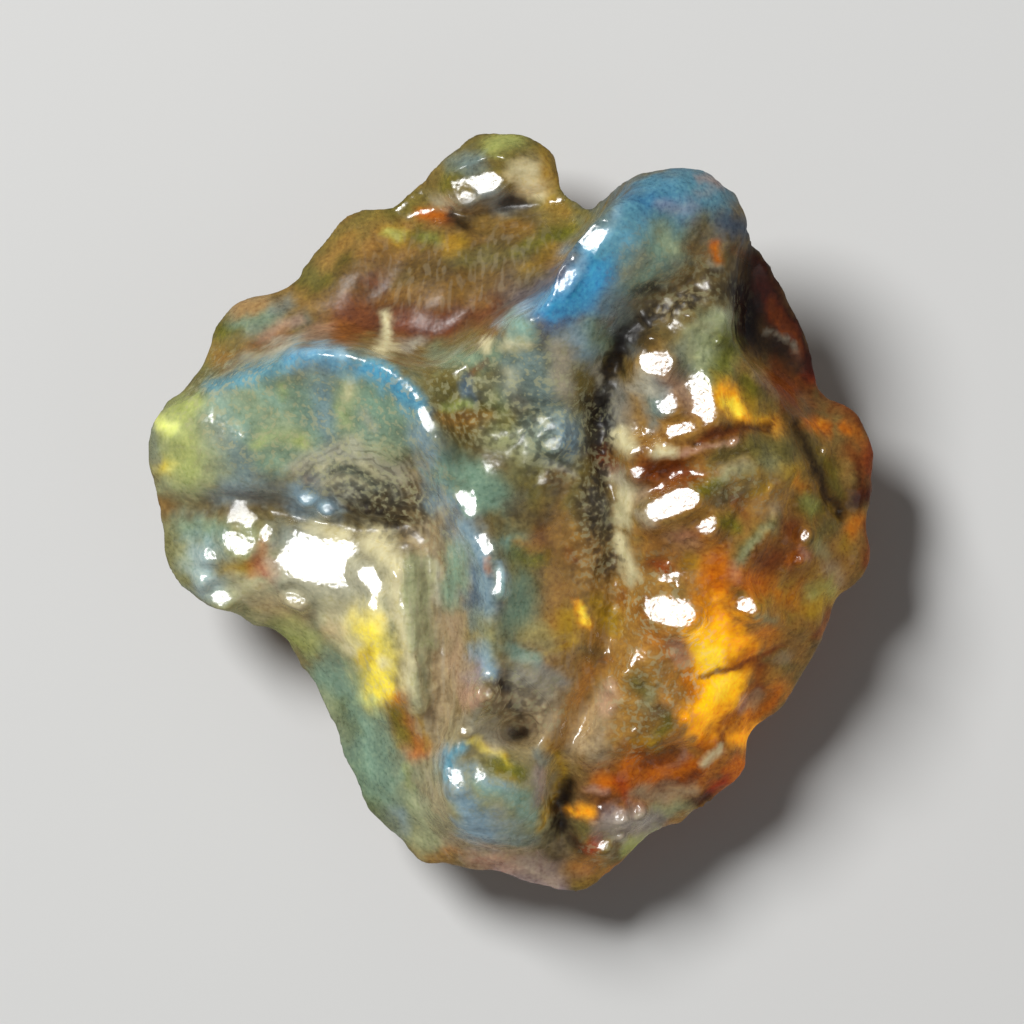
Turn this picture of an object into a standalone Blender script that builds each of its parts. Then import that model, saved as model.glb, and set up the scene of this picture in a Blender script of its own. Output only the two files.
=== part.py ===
"""A rough lump of blue amber, lying on the flat break under it.

The stone is one solid. A sphere is drawn out to the stone's plan outline, its upper half is raised to the heights
surveyed on each face, and its lower half is rounded in under the rim. Scarps, ridges, cracks, lumps, pits and
scooped breaks are then worked into that skin. +Z is up, +X is towards the amber-orange side, and the origin is
under the middle of the stone, on the surface that it rests on. Places and sizes in the tables are millimetres.
"""

import math

import bmesh
import bpy
import numpy as np
from mathutils import noise

MM = 0.001

# Driving dimensions
STONE_WIDTH = 29.1  # along X at the widest
STONE_LENGTH = 30.5  # along Y at the widest
FACET_TRIANGLES = 9200  # what the finished solid is thinned to

# Fineness of the skin before it is thinned
SPHERE_SUBDIVISIONS = 7
CURVE_STEPS = 6
EVEN_MESH = 0.2  # edge of the even mesh that the skin is rebuilt with
EASING_ROUNDS = 3

# How full the lump is: a higher power keeps a face level for longer before it turns over at the rim
TOP_FULLNESS = 9.0
UNDERSIDE_FULLNESS = 3.0

# The rim is the widest line of the stone seen from above, anticlockwise from the +X side: x, y and height
RIM = [
    (14.5, 1.7, 5.0), (14.2, 3.2, 5.0), (13.3, 4.3, 5.0), (12.6, 4.8, 4.8), (12.0, 6.5, 4.8),
    (11.0, 8.4, 5.4), (10.3, 10.0, 6.5), (9.7, 11.2, 8.4), (9.0, 12.4, 9.8), (7.9, 13.2, 10.6),
    (6.6, 13.6, 11.0), (5.3, 13.3, 11.0), (4.2, 12.7, 10.2), (3.3, 12.0, 7.6), (2.0, 12.8, 5.4),
    (1.8, 14.0, 5.0), (1.1, 14.8, 5.0), (0.0, 15.2, 4.8), (-1.3, 15.0, 4.6), (-2.6, 14.3, 4.4),
    (-4.3, 12.4, 4.4), (-6.3, 11.6, 4.2), (-7.7, 10.4, 4.0), (-8.9, 8.9, 4.0), (-10.5, 8.5, 4.4),
    (-11.6, 7.6, 4.4), (-12.3, 6.4, 4.6), (-13.1, 4.9, 5.2), (-14.1, 4.0, 6.0), (-14.6, 2.8, 6.2),
    (-14.3, 0.4, 5.6), (-14.0, -2.2, 5.0), (-12.9, -3.5, 5.0), (-10.9, -4.3, 4.8),
    (-9.1, -5.2, 4.4), (-8.0, -6.8, 4.2), (-6.8, -9.1, 4.2), (-6.2, -11.4, 4.0),
    (-5.4, -12.5, 4.0), (-4.3, -13.4, 4.2), (-3.5, -14.2, 4.2), (-1.5, -14.4, 4.6),
    (0.5, -14.8, 4.6), (2.6, -15.3, 4.2), (3.8, -14.8, 4.0), (5.9, -12.8, 4.0), (8.1, -11.6, 4.2),
    (9.3, -10.6, 4.4), (9.7, -9.2, 4.4), (11.1, -7.4, 4.4), (12.2, -5.8, 4.4), (13.0, -3.9, 4.4),
    (14.0, -3.0, 4.6), (14.4, -1.6, 4.8), (14.4, -0.2, 4.8),
]

# Heights surveyed on each level of the top: x, y and height
FRONT_LEVEL = {
    "edge of the left face": [
        (-11.9, 5.1, 8.6), (-9.9, 5.9, 10.2), (-7.7, 6.4, 11.2), (-5.5, 5.8, 11.7),
        (-4.2, 4.9, 12.1), (-3.2, 3.6, 12.5),
    ],
    "left face": [
        (-14.1, 2.8, 7.2), (-12.5, 3.2, 8.4), (-10.5, 3.4, 9.2), (-8.5, 3.4, 9.9), (-6.1, 3.4, 10.9),
        (-4.5, 2.4, 11.2), (-12.9, 1.0, 7.9), (-10.1, 1.0, 8.8), (-7.3, 1.2, 9.7), (-4.5, 0.6, 10.3),
    ],
    "wet hollow under the ledge": [
        (-13.1, -0.4, 6.8), (-10.1, -0.4, 7.8), (-7.3, -0.6, 8.6), (-4.7, -0.8, 9.6),
        (-13.3, -2.0, 6.4), (-11.1, -2.0, 7.6), (-8.5, -2.2, 8.5), (-6.5, -2.2, 9.1), (-4.7, -2.6, 9.7),
        (-11.1, -3.9, 6.0), (-8.5, -4.7, 6.6), (-6.5, -5.2, 8.0), (-4.5, -5.6, 9.6),
    ],
    "green leg": [
        (-7.1, -7.2, 5.2), (-5.5, -9.0, 6.6), (-3.7, -7.6, 9.6), (-3.3, -10.2, 8.8),
        (-5.5, -11.6, 5.4), (-3.5, -12.6, 6.9), (-2.9, -13.6, 6.2),
    ],
    "spine and the trough beside it": [
        (-2.9, -2.0, 10.2), (-2.4, -5.2, 9.8), (-2.4, -7.6, 9.3), (-2.3, 1.6, 11.6), (-1.3, -0.4, 11.7),
        (-0.9, -2.8, 11.7), (-0.9, -5.2, 11.2), (-1.3, -7.6, 10.2), (-2.3, -10.6, 9.4), (-1.7, -12.8, 8.2),
    ],
    "middle": [
        (-1.3, 4.0, 11.8), (1.1, 2.8, 12.3), (0.3, 0.8, 11.9), (1.1, -2.0, 11.3), (1.9, -5.2, 10.8),
        (0.1, -8.8, 9.4), (1.1, -10.8, 9.3), (-0.1, -14.0, 6.6), (2.5, -14.6, 5.2),
        (0.3, 5.0, 13.0), (2.1, 4.4, 13.0), (3.7, 5.0, 12.3), (-2.9, 5.6, 12.2), (-1.5, 6.2, 12.6),
    ],
    "horn": [
        (8.9, 11.4, 11.6), (7.1, 12.6, 12.4), (5.1, 12.4, 13.0), (3.5, 10.6, 13.9), (2.0, 8.5, 14.2),
        (0.3, 7.3, 13.6), (5.5, 10.2, 13.6), (7.5, 9.7, 12.6), (5.1, 8.0, 13.3), (7.5, 7.2, 12.6),
        (8.8, 8.4, 11.6),
    ],
    "amber face": [
        (4.3, 2.4, 11.4), (5.1, -2.0, 11.4), (3.5, -4.4, 10.2), (2.9, -7.6, 9.3), (2.1, -11.6, 7.6),
        (5.7, 4.4, 12.4), (7.5, 4.4, 12.3), (5.9, 1.2, 12.1), (8.3, 1.2, 11.7), (10.5, 2.0, 10.6),
        (7.1, -2.0, 11.6), (9.3, -2.0, 10.9), (11.5, -0.8, 9.4), (5.9, -5.2, 10.7), (8.3, -5.2, 9.9),
        (10.9, -4.4, 7.8), (5.1, -8.0, 9.7), (7.5, -8.2, 8.7), (9.5, -7.2, 7.0), (4.3, -11.2, 8.0),
        (6.9, -11.0, 6.3), (3.5, -13.6, 6.0), (5.5, -12.8, 5.2), (11.3, 3.8, 9.2), (12.4, 1.2, 8.4),
        (12.7, -2.4, 6.8),
    ],
}
BACK_LEVEL = {
    "left knob": [(-11.2, 7.4, 5.8), (-12.3, 5.6, 5.6), (-8.9, 7.4, 6.6)],
    "brown hollow": [
        (-7.7, 9.2, 5.4), (-6.9, 7.6, 7.2), (-5.7, 10.8, 5.4), (-4.5, 8.4, 7.4), (-4.5, 6.6, 8.0),
        (-2.5, 10.0, 6.9), (-2.1, 7.2, 8.4), (-0.3, 9.2, 7.8), (1.3, 10.8, 7.2), (2.5, 11.8, 6.2),
    ],
    "far lobe": [
        (-3.7, 11.8, 5.2), (-0.1, 12.1, 5.3), (-2.3, 12.8, 5.6), (-0.5, 13.8, 6.8), (0.9, 13.8, 6.6),
        (-0.1, 14.8, 5.8),
    ],
}
FLANK_LEVEL = {
    "dark flank": [(10.5, 8.8, 6.8), (9.7, 7.2, 6.9), (11.7, 6.0, 5.8), (11.1, 4.8, 6.4)],
    "side lobe": [(13.5, 3.2, 6.2), (14.0, 1.2, 6.2), (13.5, -2.0, 6.0), (12.7, -3.6, 5.4)],
}

# Heights surveyed on the underside. What would reach below zero is lost to the flat break.
UNDERSIDE_LEVEL = {
    "belly": [
        (0.0, 0.0, -1.3), (4.5, -1.0, -1.1), (-4.5, 1.0, -1.0), (0.5, 5.0, -0.7), (0.5, -5.5, -0.6),
    ],
    "ends": [(11.5, 1.0, 2.0), (-11.0, 2.0, 2.3), (0.5, 11.5, 2.2), (1.0, -12.0, 1.7)],
    "corners": [(8.0, 8.5, 2.4), (9.0, -7.5, 1.6), (-7.5, 8.0, 1.5), (-7.0, -6.0, 1.4)],
}

# Scarps are steep steps between two levels. The higher ground is on the right of each line.
BACK_SCARP = [
    (-17.7, 4.6), (-13.7, 4.8), (-12.3, 5.2), (-11.2, 5.5), (-9.8, 6.0), (-8.5, 6.6), (-6.7, 6.7),
    (-4.9, 6.2), (-3.3, 5.8), (-1.7, 6.4), (-0.3, 7.5), (1.3, 8.5), (2.4, 9.7), (3.2, 10.9),
    (4.0, 12.1), (6.1, 15.8),
]
FLANK_SCARP = [
    (11.7, 14.4), (9.6, 10.8), (9.1, 8.8), (9.0, 7.0), (9.9, 5.6), (11.2, 4.5), (12.2, 2.8),
    (13.0, 0.6), (13.4, -1.4), (13.2, -3.2), (13.8, -6.2),
]
BACK_SCARP_WIDTH = 1.1
FLANK_SCARP_WIDTH = 1.0

# Ridges stand up along a line, and cracks sink along one: its points, height and half width
RIDGES = {
    "left crest": (
        [(-12.3, 4.8), (-9.7, 5.6), (-8.1, 6.1), (-6.5, 6.1), (-5.1, 5.6), (-3.9, 4.6), (-2.9, 2.5)],
        0.7, 0.9,
    ),
    "horn crest": (
        [(8.9, 11.6), (7.7, 12.5), (6.3, 12.7), (4.9, 12.1), (3.9, 10.7), (2.7, 9.0), (0.6, 7.3)],
        0.7, 1.3,
    ),
    "spine": ([(-3.0, 2.8), (-2.4, 1.3), (-1.6, -0.2), (-0.8, -2.2), (-0.8, -5.2), (-1.1, -7.4)], 1.2, 0.8),
    "lower spine": ([(-1.1, -7.4), (-2.0, -8.8), (-2.5, -10.4), (-2.0, -12.2)], 0.9, 0.7),
    "cream lip": ([(-5.6, -2.2), (-4.5, -2.9), (-4.0, -5.0), (-3.6, -7.4)], 0.6, 0.6),
    "far lobe ridge": ([(-2.4, 13.2), (-0.6, 14.0), (1.0, 13.8)], 0.7, 0.8),
    "upper ripple": ([(5.3, 2.2), (7.1, 2.5), (8.9, 2.9)], 0.45, 0.5),
    "middle ripple": ([(7.1, 0.4), (9.9, 1.3), (11.5, 1.6)], 0.4, 0.6),
    "short ripple": ([(5.3, -0.3), (7.1, 0.5)], 0.5, 0.5),
    "curved ripple": ([(8.9, -3.0), (9.3, -1.8), (10.3, -0.4)], 0.4, 0.5),
    "lower ripple": ([(9.3, -3.7), (10.5, -4.4), (11.7, -4.6)], 0.4, 0.6),
    "edge of the lower shelf": ([(2.3, -9.9), (4.3, -9.2), (6.3, -8.7), (8.3, -7.9)], 0.45, 0.7),
    "bottom shelf": ([(3.9, -12.3), (5.7, -12.2), (7.3, -11.4)], 0.5, 0.6),
}
CRACKS = {
    "crusted crack": (
        [(7.1, 8.8), (5.5, 8.0), (4.4, 6.8), (3.8, 5.0), (3.4, 3.2), (3.8, 1.6), (4.2, -0.4), (4.0, -2.4),
         (4.2, -4.4), (3.5, -6.4), (2.9, -8.0), (2.3, -9.6), (1.9, -11.2), (2.0, -12.8)],
        1.1, 0.6,
    ),
    "ledge under the left face": (
        [(-14.5, 0.4), (-12.5, 0.2), (-10.1, 0.1), (-7.7, -0.4), (-5.7, -0.8), (-4.1, -0.6)],
        0.8, 0.5,
    ),
    "trough beside the spine": (
        [(-3.5, 1.6), (-3.3, -0.4), (-3.0, -2.4), (-2.9, -4.4), (-2.8, -6.4), (-3.0, -8.4), (-3.3, -10.6)],
        0.6, 0.7,
    ),
    "groove at the far lobe": (
        [(-4.5, 11.6), (-2.9, 12.0), (-1.3, 12.0), (0.3, 12.1), (1.9, 12.2)],
        0.9, 0.6,
    ),
    "dark notch in the saddle": ([(-2.3, 3.6), (-0.6, 3.0), (1.4, 3.7), (3.6, 4.0)], 0.5, 0.5),
    "line above the bottom rim": ([(-3.6, -12.8), (-1.5, -13.3), (0.8, -13.6), (2.4, -13.9)], 0.6, 0.45),
    "red cleft": ([(1.9, -10.8), (3.5, -10.4), (5.3, -10.0), (7.1, -9.7), (8.3, -9.0)], 0.6, 0.6),
    "lower red cleft": ([(3.3, -11.6), (5.5, -11.4), (7.1, -10.6)], 0.4, 0.4),
    "back face crease": ([(-7.4, 7.2), (-5.2, 8.6), (-3.8, 10.6)], 0.5, 0.7),
    "second back crease": ([(-2.9, 6.9), (-1.3, 8.9), (-0.9, 11.2)], 0.4, 0.7),
    "flank crease": ([(9.3, 9.6), (10.3, 7.0), (11.9, 4.9)], 0.5, 0.6),
}

# Lumps and pits on the top: x, y, height and radius. A pit's height is negative.
KNOBS = [
    (5.7, 5.9, 0.6, 0.8), (7.4, 4.8, 0.5, 0.7), (7.6, 3.9, 0.5, 0.7), (6.1, 4.2, 0.5, 0.6),
    (5.0, 2.0, 0.6, 0.7), (8.7, 4.4, -0.5, 0.8), (6.8, 1.5, -0.4, 0.7), (7.8, -0.6, 0.5, 0.7),
    (11.5, -1.2, 0.6, 0.9), (9.2, 0.1, -0.4, 0.9), (6.3, -2.2, -0.4, 0.8), (6.2, -4.1, 0.7, 0.9),
    (9.3, -3.7, 0.5, 0.6), (8.0, -6.4, -0.5, 1.6), (4.6, -6.6, 0.4, 0.9), (4.4, -12.1, 0.5, 0.7),
    (3.6, -13.3, 0.5, 0.8), (9.0, -9.9, 0.5, 1.0), (10.2, 3.4, -0.4, 0.9), (7.5, 7.4, 0.5, 1.0),
    (8.3, 6.0, -0.4, 0.8), (6.3, 7.1, -0.4, 0.7),
    (-13.6, 3.4, 0.6, 1.2), (-11.6, -3.2, 0.5, 1.3), (-7.6, -2.2, -0.8, 1.7), (-10.8, -1.0, 0.5, 0.8),
    (-9.7, -1.9, 0.4, 0.7), (-5.6, -4.4, 0.5, 0.9), (-6.3, -3.5, -0.4, 0.7), (-8.4, 2.2, -0.4, 1.6),
    (-5.4, 2.2, 0.3, 0.9), (-4.9, -8.6, -0.4, 1.2),
    (0.1, -8.8, -0.9, 0.8), (-0.5, -11.4, 0.8, 1.6), (2.0, 2.8, 0.4, 0.9), (-0.4, 1.0, 0.5, 1.0),
    (0.6, -1.0, 0.4, 0.9), (1.6, -3.9, -0.4, 1.0), (0.6, -6.6, 0.4, 1.0),
    (9.2, 11.2, 0.5, 0.8), (7.4, 10.3, -0.4, 0.9), (5.4, 10.4, 0.4, 1.0),
    (-10.8, 7.6, 0.6, 1.1), (-5.2, 8.0, -0.5, 1.3), (-2.8, 8.6, 0.4, 1.0), (-6.6, 9.4, 0.4, 1.0),
    (-0.2, 10.3, 0.4, 1.0), (14.0, -1.5, 0.4, 1.2),
]

# Scooped breaks low on the sides and underneath: the middle and radius of the ball that each break follows
SCOOPS = [
    (-15.5, -9.0, -1.0, 8.2), (17.5, -6.5, -1.8, 7.6), (14.8, 12.5, -2.0, 8.6), (-14.5, 13.0, -3.6, 8.4),
    (1.5, -20.0, -2.6, 8.0), (-18.6, 1.0, -3.4, 7.6), (-7.0, -4.5, -6.0, 6.9), (8.5, 3.5, -7.2, 8.2),
    (-2.0, 18.6, -3.2, 7.0), (10.5, -14.0, -3.6, 6.6),
]

# Roughness of the skin: how far the noise pushes, the size of its swells, and the share of it each side takes
SWELL_PUSH, SWELL_SIZE = 0.45, 4.6
GRAIN_PUSH, GRAIN_SIZE = 0.3, 1.3
LEFT_SHARE, AMBER_SHARE, UNDERSIDE_SHARE = 0.35, 0.8, 0.9

AMBER_COLOUR = (0.42, 0.24, 0.06, 1.0)


def clear_scene():
    for obj in list(bpy.data.objects):
        bpy.data.objects.remove(obj)


def new_collection(name, parent):
    collection = bpy.data.collections.new(name)
    parent.children.link(collection)
    return collection


def smooth_step(value, low, high):
    share = np.clip((value - low) / (high - low), 0, 1)
    return share * share * (3 - 2 * share)


def curve_through(points, closed=False):
    """A smooth line through the points, as an array with CURVE_STEPS rows to each stretch."""
    fixed = np.array(points, float)
    if closed:
        ends = np.vstack([fixed[-1:], fixed, fixed[:2]])
    else:
        ends = np.vstack([2 * fixed[:1] - fixed[1:2], fixed, 2 * fixed[-1:] - fixed[-2:-1]])
    share = np.linspace(0, 1, CURVE_STEPS, endpoint=False)[:, None]
    stretches = []
    for a, b, c, d in zip(ends[:-3], ends[1:-2], ends[2:-1], ends[3:]):
        stretches.append(
            0.5 * (2 * b + (c - a) * share + (2 * a - 5 * b + 4 * c - d) * share**2
                   + (3 * b - a - 3 * c + d) * share**3)
        )
    if not closed:
        stretches.append(fixed[-1:])
    return np.vstack(stretches)


def distance_to(line, x, y):
    """Distance from each place to the line, and the side it is on: over zero to the left of the line."""
    nearest = np.full(x.shape, np.inf)
    side = np.zeros(x.shape)
    for (ax, ay), (bx, by) in zip(line[:-1, :2], line[1:, :2]):
        run_x, run_y = bx - ax, by - ay
        share = np.clip(((x - ax) * run_x + (y - ay) * run_y) / (run_x**2 + run_y**2), 0, 1)
        gap = np.hypot(x - ax - share * run_x, y - ay - share * run_y)
        closer = gap < nearest
        nearest = np.where(closer, gap, nearest)
        side = np.where(closer, run_x * (y - ay) - run_y * (x - ax), side)
    return nearest, np.sign(side)


def bending_energy(gap):
    """The thin-plate term at this distance, which is zero at zero."""
    return gap**2 * np.log(np.maximum(gap, 1e-9))


def survey(level):
    """A smooth sheet through one level's surveyed heights, as a function of x and y."""
    spots = np.array([spot for part in level.values() for spot in part])
    count = len(spots)
    gaps = np.hypot(spots[:, None, 0] - spots[None, :, 0], spots[:, None, 1] - spots[None, :, 1])
    plane = np.column_stack([np.ones(count), spots[:, :2]])
    softness = 0.4 * np.eye(count)
    system = np.block([[bending_energy(gaps) + softness, plane], [plane.T, np.zeros((3, 3))]])
    weights = np.linalg.solve(system, np.append(spots[:, 2], np.zeros(3)))

    def height(x, y):
        total = weights[count] + weights[count + 1] * x + weights[count + 2] * y
        for (spot_x, spot_y, _), weight in zip(spots, weights):
            total = total + weight * bending_energy(np.hypot(x - spot_x, y - spot_y))
        return total

    return height


def top_height(x, y):
    """Height of the stone's upper face at each place, before it turns over at the rim."""
    gap, side = distance_to(curve_through(BACK_SCARP), x, y)
    behind = smooth_step(gap * side, -BACK_SCARP_WIDTH / 2, BACK_SCARP_WIDTH / 2)
    height = survey(FRONT_LEVEL)(x, y) * (1 - behind) + survey(BACK_LEVEL)(x, y) * behind
    gap, side = distance_to(curve_through(FLANK_SCARP), x, y)
    beyond = smooth_step(gap * side, -FLANK_SCARP_WIDTH / 2, FLANK_SCARP_WIDTH / 2)
    height = height * (1 - beyond) + survey(FLANK_LEVEL)(x, y) * beyond
    for line, rise, half_width in RIDGES.values():
        gap, _ = distance_to(curve_through(line), x, y)
        height += rise * np.exp(-((gap / half_width) ** 2))
    for line, depth, half_width in CRACKS.values():
        gap, _ = distance_to(curve_through(line), x, y)
        height -= depth * np.exp(-((gap / half_width) ** 2))
    for knob_x, knob_y, rise, radius in KNOBS:
        height += rise * np.exp(-((x - knob_x) ** 2 + (y - knob_y) ** 2) / radius**2)
    return height


def rim_at(angle):
    """Distance of the rim from the stone's middle, and its height, at each angle about Z."""
    line = curve_through(RIM, closed=True)
    angles = np.arctan2(line[:, 1], line[:, 0])
    order = np.argsort(angles)
    reach = np.hypot(line[:, 0], line[:, 1])[order]
    return (
        np.interp(angle, angles[order], reach, period=math.tau),
        np.interp(angle, angles[order], line[order, 2], period=math.tau),
    )


def lump_from_sphere(sphere):
    """Places on the stone, in millimetres, for places on a sphere of radius 1."""
    angle = np.arctan2(sphere[:, 1], sphere[:, 0])
    share = np.clip(np.hypot(sphere[:, 0], sphere[:, 1]), 0, 1)
    reach, rim_height = rim_at(angle)
    x = reach * share * np.cos(angle)
    y = reach * share * np.sin(angle)
    above = sphere[:, 2] >= 0
    rise = np.sqrt(1 - share**TOP_FULLNESS)
    drop = np.sqrt(1 - share**UNDERSIDE_FULLNESS)
    upper = rim_height + (top_height(x, y) - rim_height) * rise
    lower = rim_height + (survey(UNDERSIDE_LEVEL)(x, y) - rim_height) * drop
    return np.column_stack([x, y, np.where(above, upper, lower)]), above


def scoop(points):
    """Presses each break's ball into the skin, so that what was inside it lies on it."""
    for middle_x, middle_y, middle_z, radius in SCOOPS:
        middle = np.array([middle_x, middle_y, middle_z])
        away = points - middle
        gap = np.linalg.norm(away, axis=1)
        inside = gap < radius
        points[inside] = middle + away[inside] * (radius / gap[inside])[:, None]
    return points


def vertex_array(mesh, name):
    values = np.empty(len(mesh.vertices) * 3)
    mesh.vertices.foreach_get(name, values)
    return values.reshape(-1, 3)


def roughen(mesh, above):
    """Pushes the skin in and out along its normals by two sizes of noise."""
    places = vertex_array(mesh, "co")
    normals = vertex_array(mesh, "normal")
    share = LEFT_SHARE + (AMBER_SHARE - LEFT_SHARE) * smooth_step(places[:, 0] / MM, 3.0, 5.0)
    share[~above] = UNDERSIDE_SHARE
    for index, place in enumerate(places / MM):
        push = SWELL_PUSH * noise.noise(place / SWELL_SIZE) + GRAIN_PUSH * noise.noise(place / GRAIN_SIZE)
        places[index] += normals[index] * push * share[index] * MM
    mesh.vertices.foreach_set("co", places.ravel())
    mesh.update()


def fit_to_size(mesh):
    """Scales the plan to the driving width and length, and centres it over the origin."""
    places = vertex_array(mesh, "co")
    low, high = places.min(0), places.max(0)
    for axis, size in ((0, STONE_WIDTH * MM), (1, STONE_LENGTH * MM)):
        middle = (low[axis] + high[axis]) / 2
        places[:, axis] = (places[:, axis] - middle) * size / (high[axis] - low[axis])
    mesh.vertices.foreach_set("co", places.ravel())
    mesh.update()


def amber_material():
    material = bpy.data.materials.new("amber")
    material.use_nodes = True
    shader = material.node_tree.nodes["Principled BSDF"]
    shader.inputs["Base Color"].default_value = AMBER_COLOUR
    shader.inputs["Roughness"].default_value = 0.2
    shader.inputs["Metallic"].default_value = 0.0
    shader.inputs["IOR"].default_value = 1.54
    return material


def make_skin():
    """The stone's whole skin, rounded underneath, as a closed mesh."""
    ball = bmesh.new()
    bmesh.ops.create_icosphere(ball, subdivisions=SPHERE_SUBDIVISIONS, radius=1)
    sphere = np.array([vertex.co for vertex in ball.verts])
    points, above = lump_from_sphere(sphere)
    points = scoop(points)
    for vertex, point in zip(ball.verts, points):
        vertex.co = point * MM
    mesh = bpy.data.meshes.new("amber_lump")
    ball.to_mesh(mesh)
    ball.free()
    roughen(mesh, above)
    return mesh


def make_ground_cutter(collection):
    """A slab whose top is the plane of the flat break."""
    bpy.ops.mesh.primitive_cube_add(size=1)
    slab = bpy.context.object
    slab.name = "ground_cutter"
    slab.dimensions = (60 * MM, 60 * MM, 10 * MM)
    slab.location = (0, 0, -5 * MM)
    slab.hide_render = True
    slab.display_type = "WIRE"
    for holder in list(slab.users_collection):
        holder.objects.unlink(slab)
    collection.objects.link(slab)
    return slab


def apply_modifier(obj, kind, **settings):
    modifier = obj.modifiers.new(kind.lower(), kind)
    for name, value in settings.items():
        setattr(modifier, name, value)
    with bpy.context.temp_override(object=obj):
        bpy.ops.object.modifier_apply(modifier=modifier.name)


def make_lump(collection, slab):
    mesh = make_skin()
    mesh.materials.append(amber_material())
    lump = bpy.data.objects.new("amber_lump", mesh)
    collection.objects.link(lump)
    apply_modifier(lump, "REMESH", mode="VOXEL", voxel_size=EVEN_MESH * MM)
    apply_modifier(lump, "SMOOTH", factor=0.5, iterations=EASING_ROUNDS)
    apply_modifier(lump, "TRIANGULATE")
    fit_to_size(lump.data)
    apply_modifier(lump, "DECIMATE", ratio=FACET_TRIANGLES / len(lump.data.polygons))
    apply_modifier(lump, "BOOLEAN", operation="DIFFERENCE", solver="EXACT", object=slab)
    return lump


def main():
    clear_scene()
    scene_root = bpy.context.scene.collection
    stone = new_collection("rough blue amber", scene_root)
    cutters = new_collection("cutters", scene_root)
    slab = make_ground_cutter(cutters)
    make_lump(stone, slab)


main()
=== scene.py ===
import bpy
import numpy as np
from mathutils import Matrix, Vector, noise


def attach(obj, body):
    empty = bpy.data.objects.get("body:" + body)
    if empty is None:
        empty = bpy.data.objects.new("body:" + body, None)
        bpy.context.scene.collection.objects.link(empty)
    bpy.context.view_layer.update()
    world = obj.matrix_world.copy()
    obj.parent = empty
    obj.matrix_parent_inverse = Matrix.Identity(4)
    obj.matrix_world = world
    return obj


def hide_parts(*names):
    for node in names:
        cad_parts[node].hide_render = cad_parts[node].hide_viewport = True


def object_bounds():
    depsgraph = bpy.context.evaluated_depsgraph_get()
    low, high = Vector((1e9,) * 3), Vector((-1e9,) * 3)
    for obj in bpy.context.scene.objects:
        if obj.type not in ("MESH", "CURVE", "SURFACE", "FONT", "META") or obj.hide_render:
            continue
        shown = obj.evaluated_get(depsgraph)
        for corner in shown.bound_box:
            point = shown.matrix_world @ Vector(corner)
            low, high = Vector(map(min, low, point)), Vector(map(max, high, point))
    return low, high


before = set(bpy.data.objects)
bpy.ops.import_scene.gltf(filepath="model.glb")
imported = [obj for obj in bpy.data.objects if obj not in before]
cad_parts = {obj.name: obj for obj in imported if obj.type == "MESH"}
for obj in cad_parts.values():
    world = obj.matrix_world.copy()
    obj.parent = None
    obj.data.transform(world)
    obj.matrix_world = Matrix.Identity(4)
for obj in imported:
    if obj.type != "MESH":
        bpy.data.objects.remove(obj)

cad_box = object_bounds()

# The studio. The stone is seen from straight above through a long lens, in a frame 41 mm wide, on plain
# pale paper. A soft light stands over its back left corner, and a weak one fills the front right.
MM = 0.001  # in metres
FRAME_WIDTH = 40.96 * MM
FOCUS_HEIGHT = 6 * MM
SENSOR_WIDTH = 36  # mm
CAMERA_PLACE = Vector((0, 0, 0.506))
KEY_PLACE = Vector((-0.25, 0.23, 0.46))
bpy.ops.object.camera_add(location=CAMERA_PLACE, rotation=(0, 0, 0))
camera = bpy.context.object
camera.name = "overhead_camera"
camera.data.sensor_width = SENSOR_WIDTH
camera.data.lens = SENSOR_WIDTH * (CAMERA_PLACE.z - FOCUS_HEIGHT) / FRAME_WIDTH
camera.data.clip_start = 0.01
camera.data.clip_end = 10
bpy.context.scene.camera = camera


def add_softbox(name, place, size, power):
    """Adds a round area light that faces the stone."""
    bpy.ops.object.light_add(type="AREA", location=place)
    light = bpy.context.object
    light.name = name
    light.data.shape = "DISK"
    light.data.size = size
    light.data.energy = power
    light.rotation_mode = "QUATERNION"
    light.rotation_quaternion = (Vector((0, 0, FOCUS_HEIGHT)) - Vector(place)).to_track_quat("-Z", "Y")


add_softbox("key_softbox", KEY_PLACE, size=0.22, power=3.9)
add_softbox("fill_softbox", (0.35, -0.25, 0.3), size=0.4, power=0.15)
world = bpy.data.worlds.new("studio_air")
world.use_nodes = True
world.node_tree.nodes["Background"].inputs["Color"].default_value = (1, 1, 1, 1)
world.node_tree.nodes["Background"].inputs["Strength"].default_value = 0.1
bpy.context.scene.world = world
bpy.context.scene.view_settings.view_transform = "Standard"

bpy.ops.mesh.primitive_plane_add(size=2)
floor = bpy.context.object
floor.name = "studio_paper"
paper = bpy.data.materials.new("pale_paper")
paper.use_nodes = True
paper.node_tree.nodes["Principled BSDF"].inputs["Base Color"].default_value = (0.62, 0.62, 0.61, 1)
paper.node_tree.nodes["Principled BSDF"].inputs["Roughness"].default_value = 0.9
floor.data.materials.append(paper)
floor.visible_glossy = False  # The stone's steep sides mirror the dim air, as they would on a dark cloth

# The stone: one rough lump of fossil resin, grown as one piece and never cut or polished. Its outer skin is
# naturally glossy and bumpy, with dark crust in the cracks, and light makes a milky blue glow on its ridges.
SKIN_MESH = 0.135 * MM  # edge of the even mesh that the skin is rebuilt with
SKIN_TRIANGLES = 190000
MERGE_GAP = 0.001 * MM
bpy.ops.object.select_all(action="DESELECT")
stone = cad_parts["amber_lump"].copy()
stone.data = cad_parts["amber_lump"].data.copy()
stone.name = "amber_stone"
stone.parent = None
bpy.context.scene.collection.objects.link(stone)
stone.select_set(True)
bpy.context.view_layer.objects.active = stone
bpy.ops.object.mode_set(mode="EDIT")
bpy.ops.mesh.select_all(action="SELECT")
bpy.ops.mesh.remove_doubles(threshold=MERGE_GAP)
bpy.ops.object.mode_set(mode="OBJECT")


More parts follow.
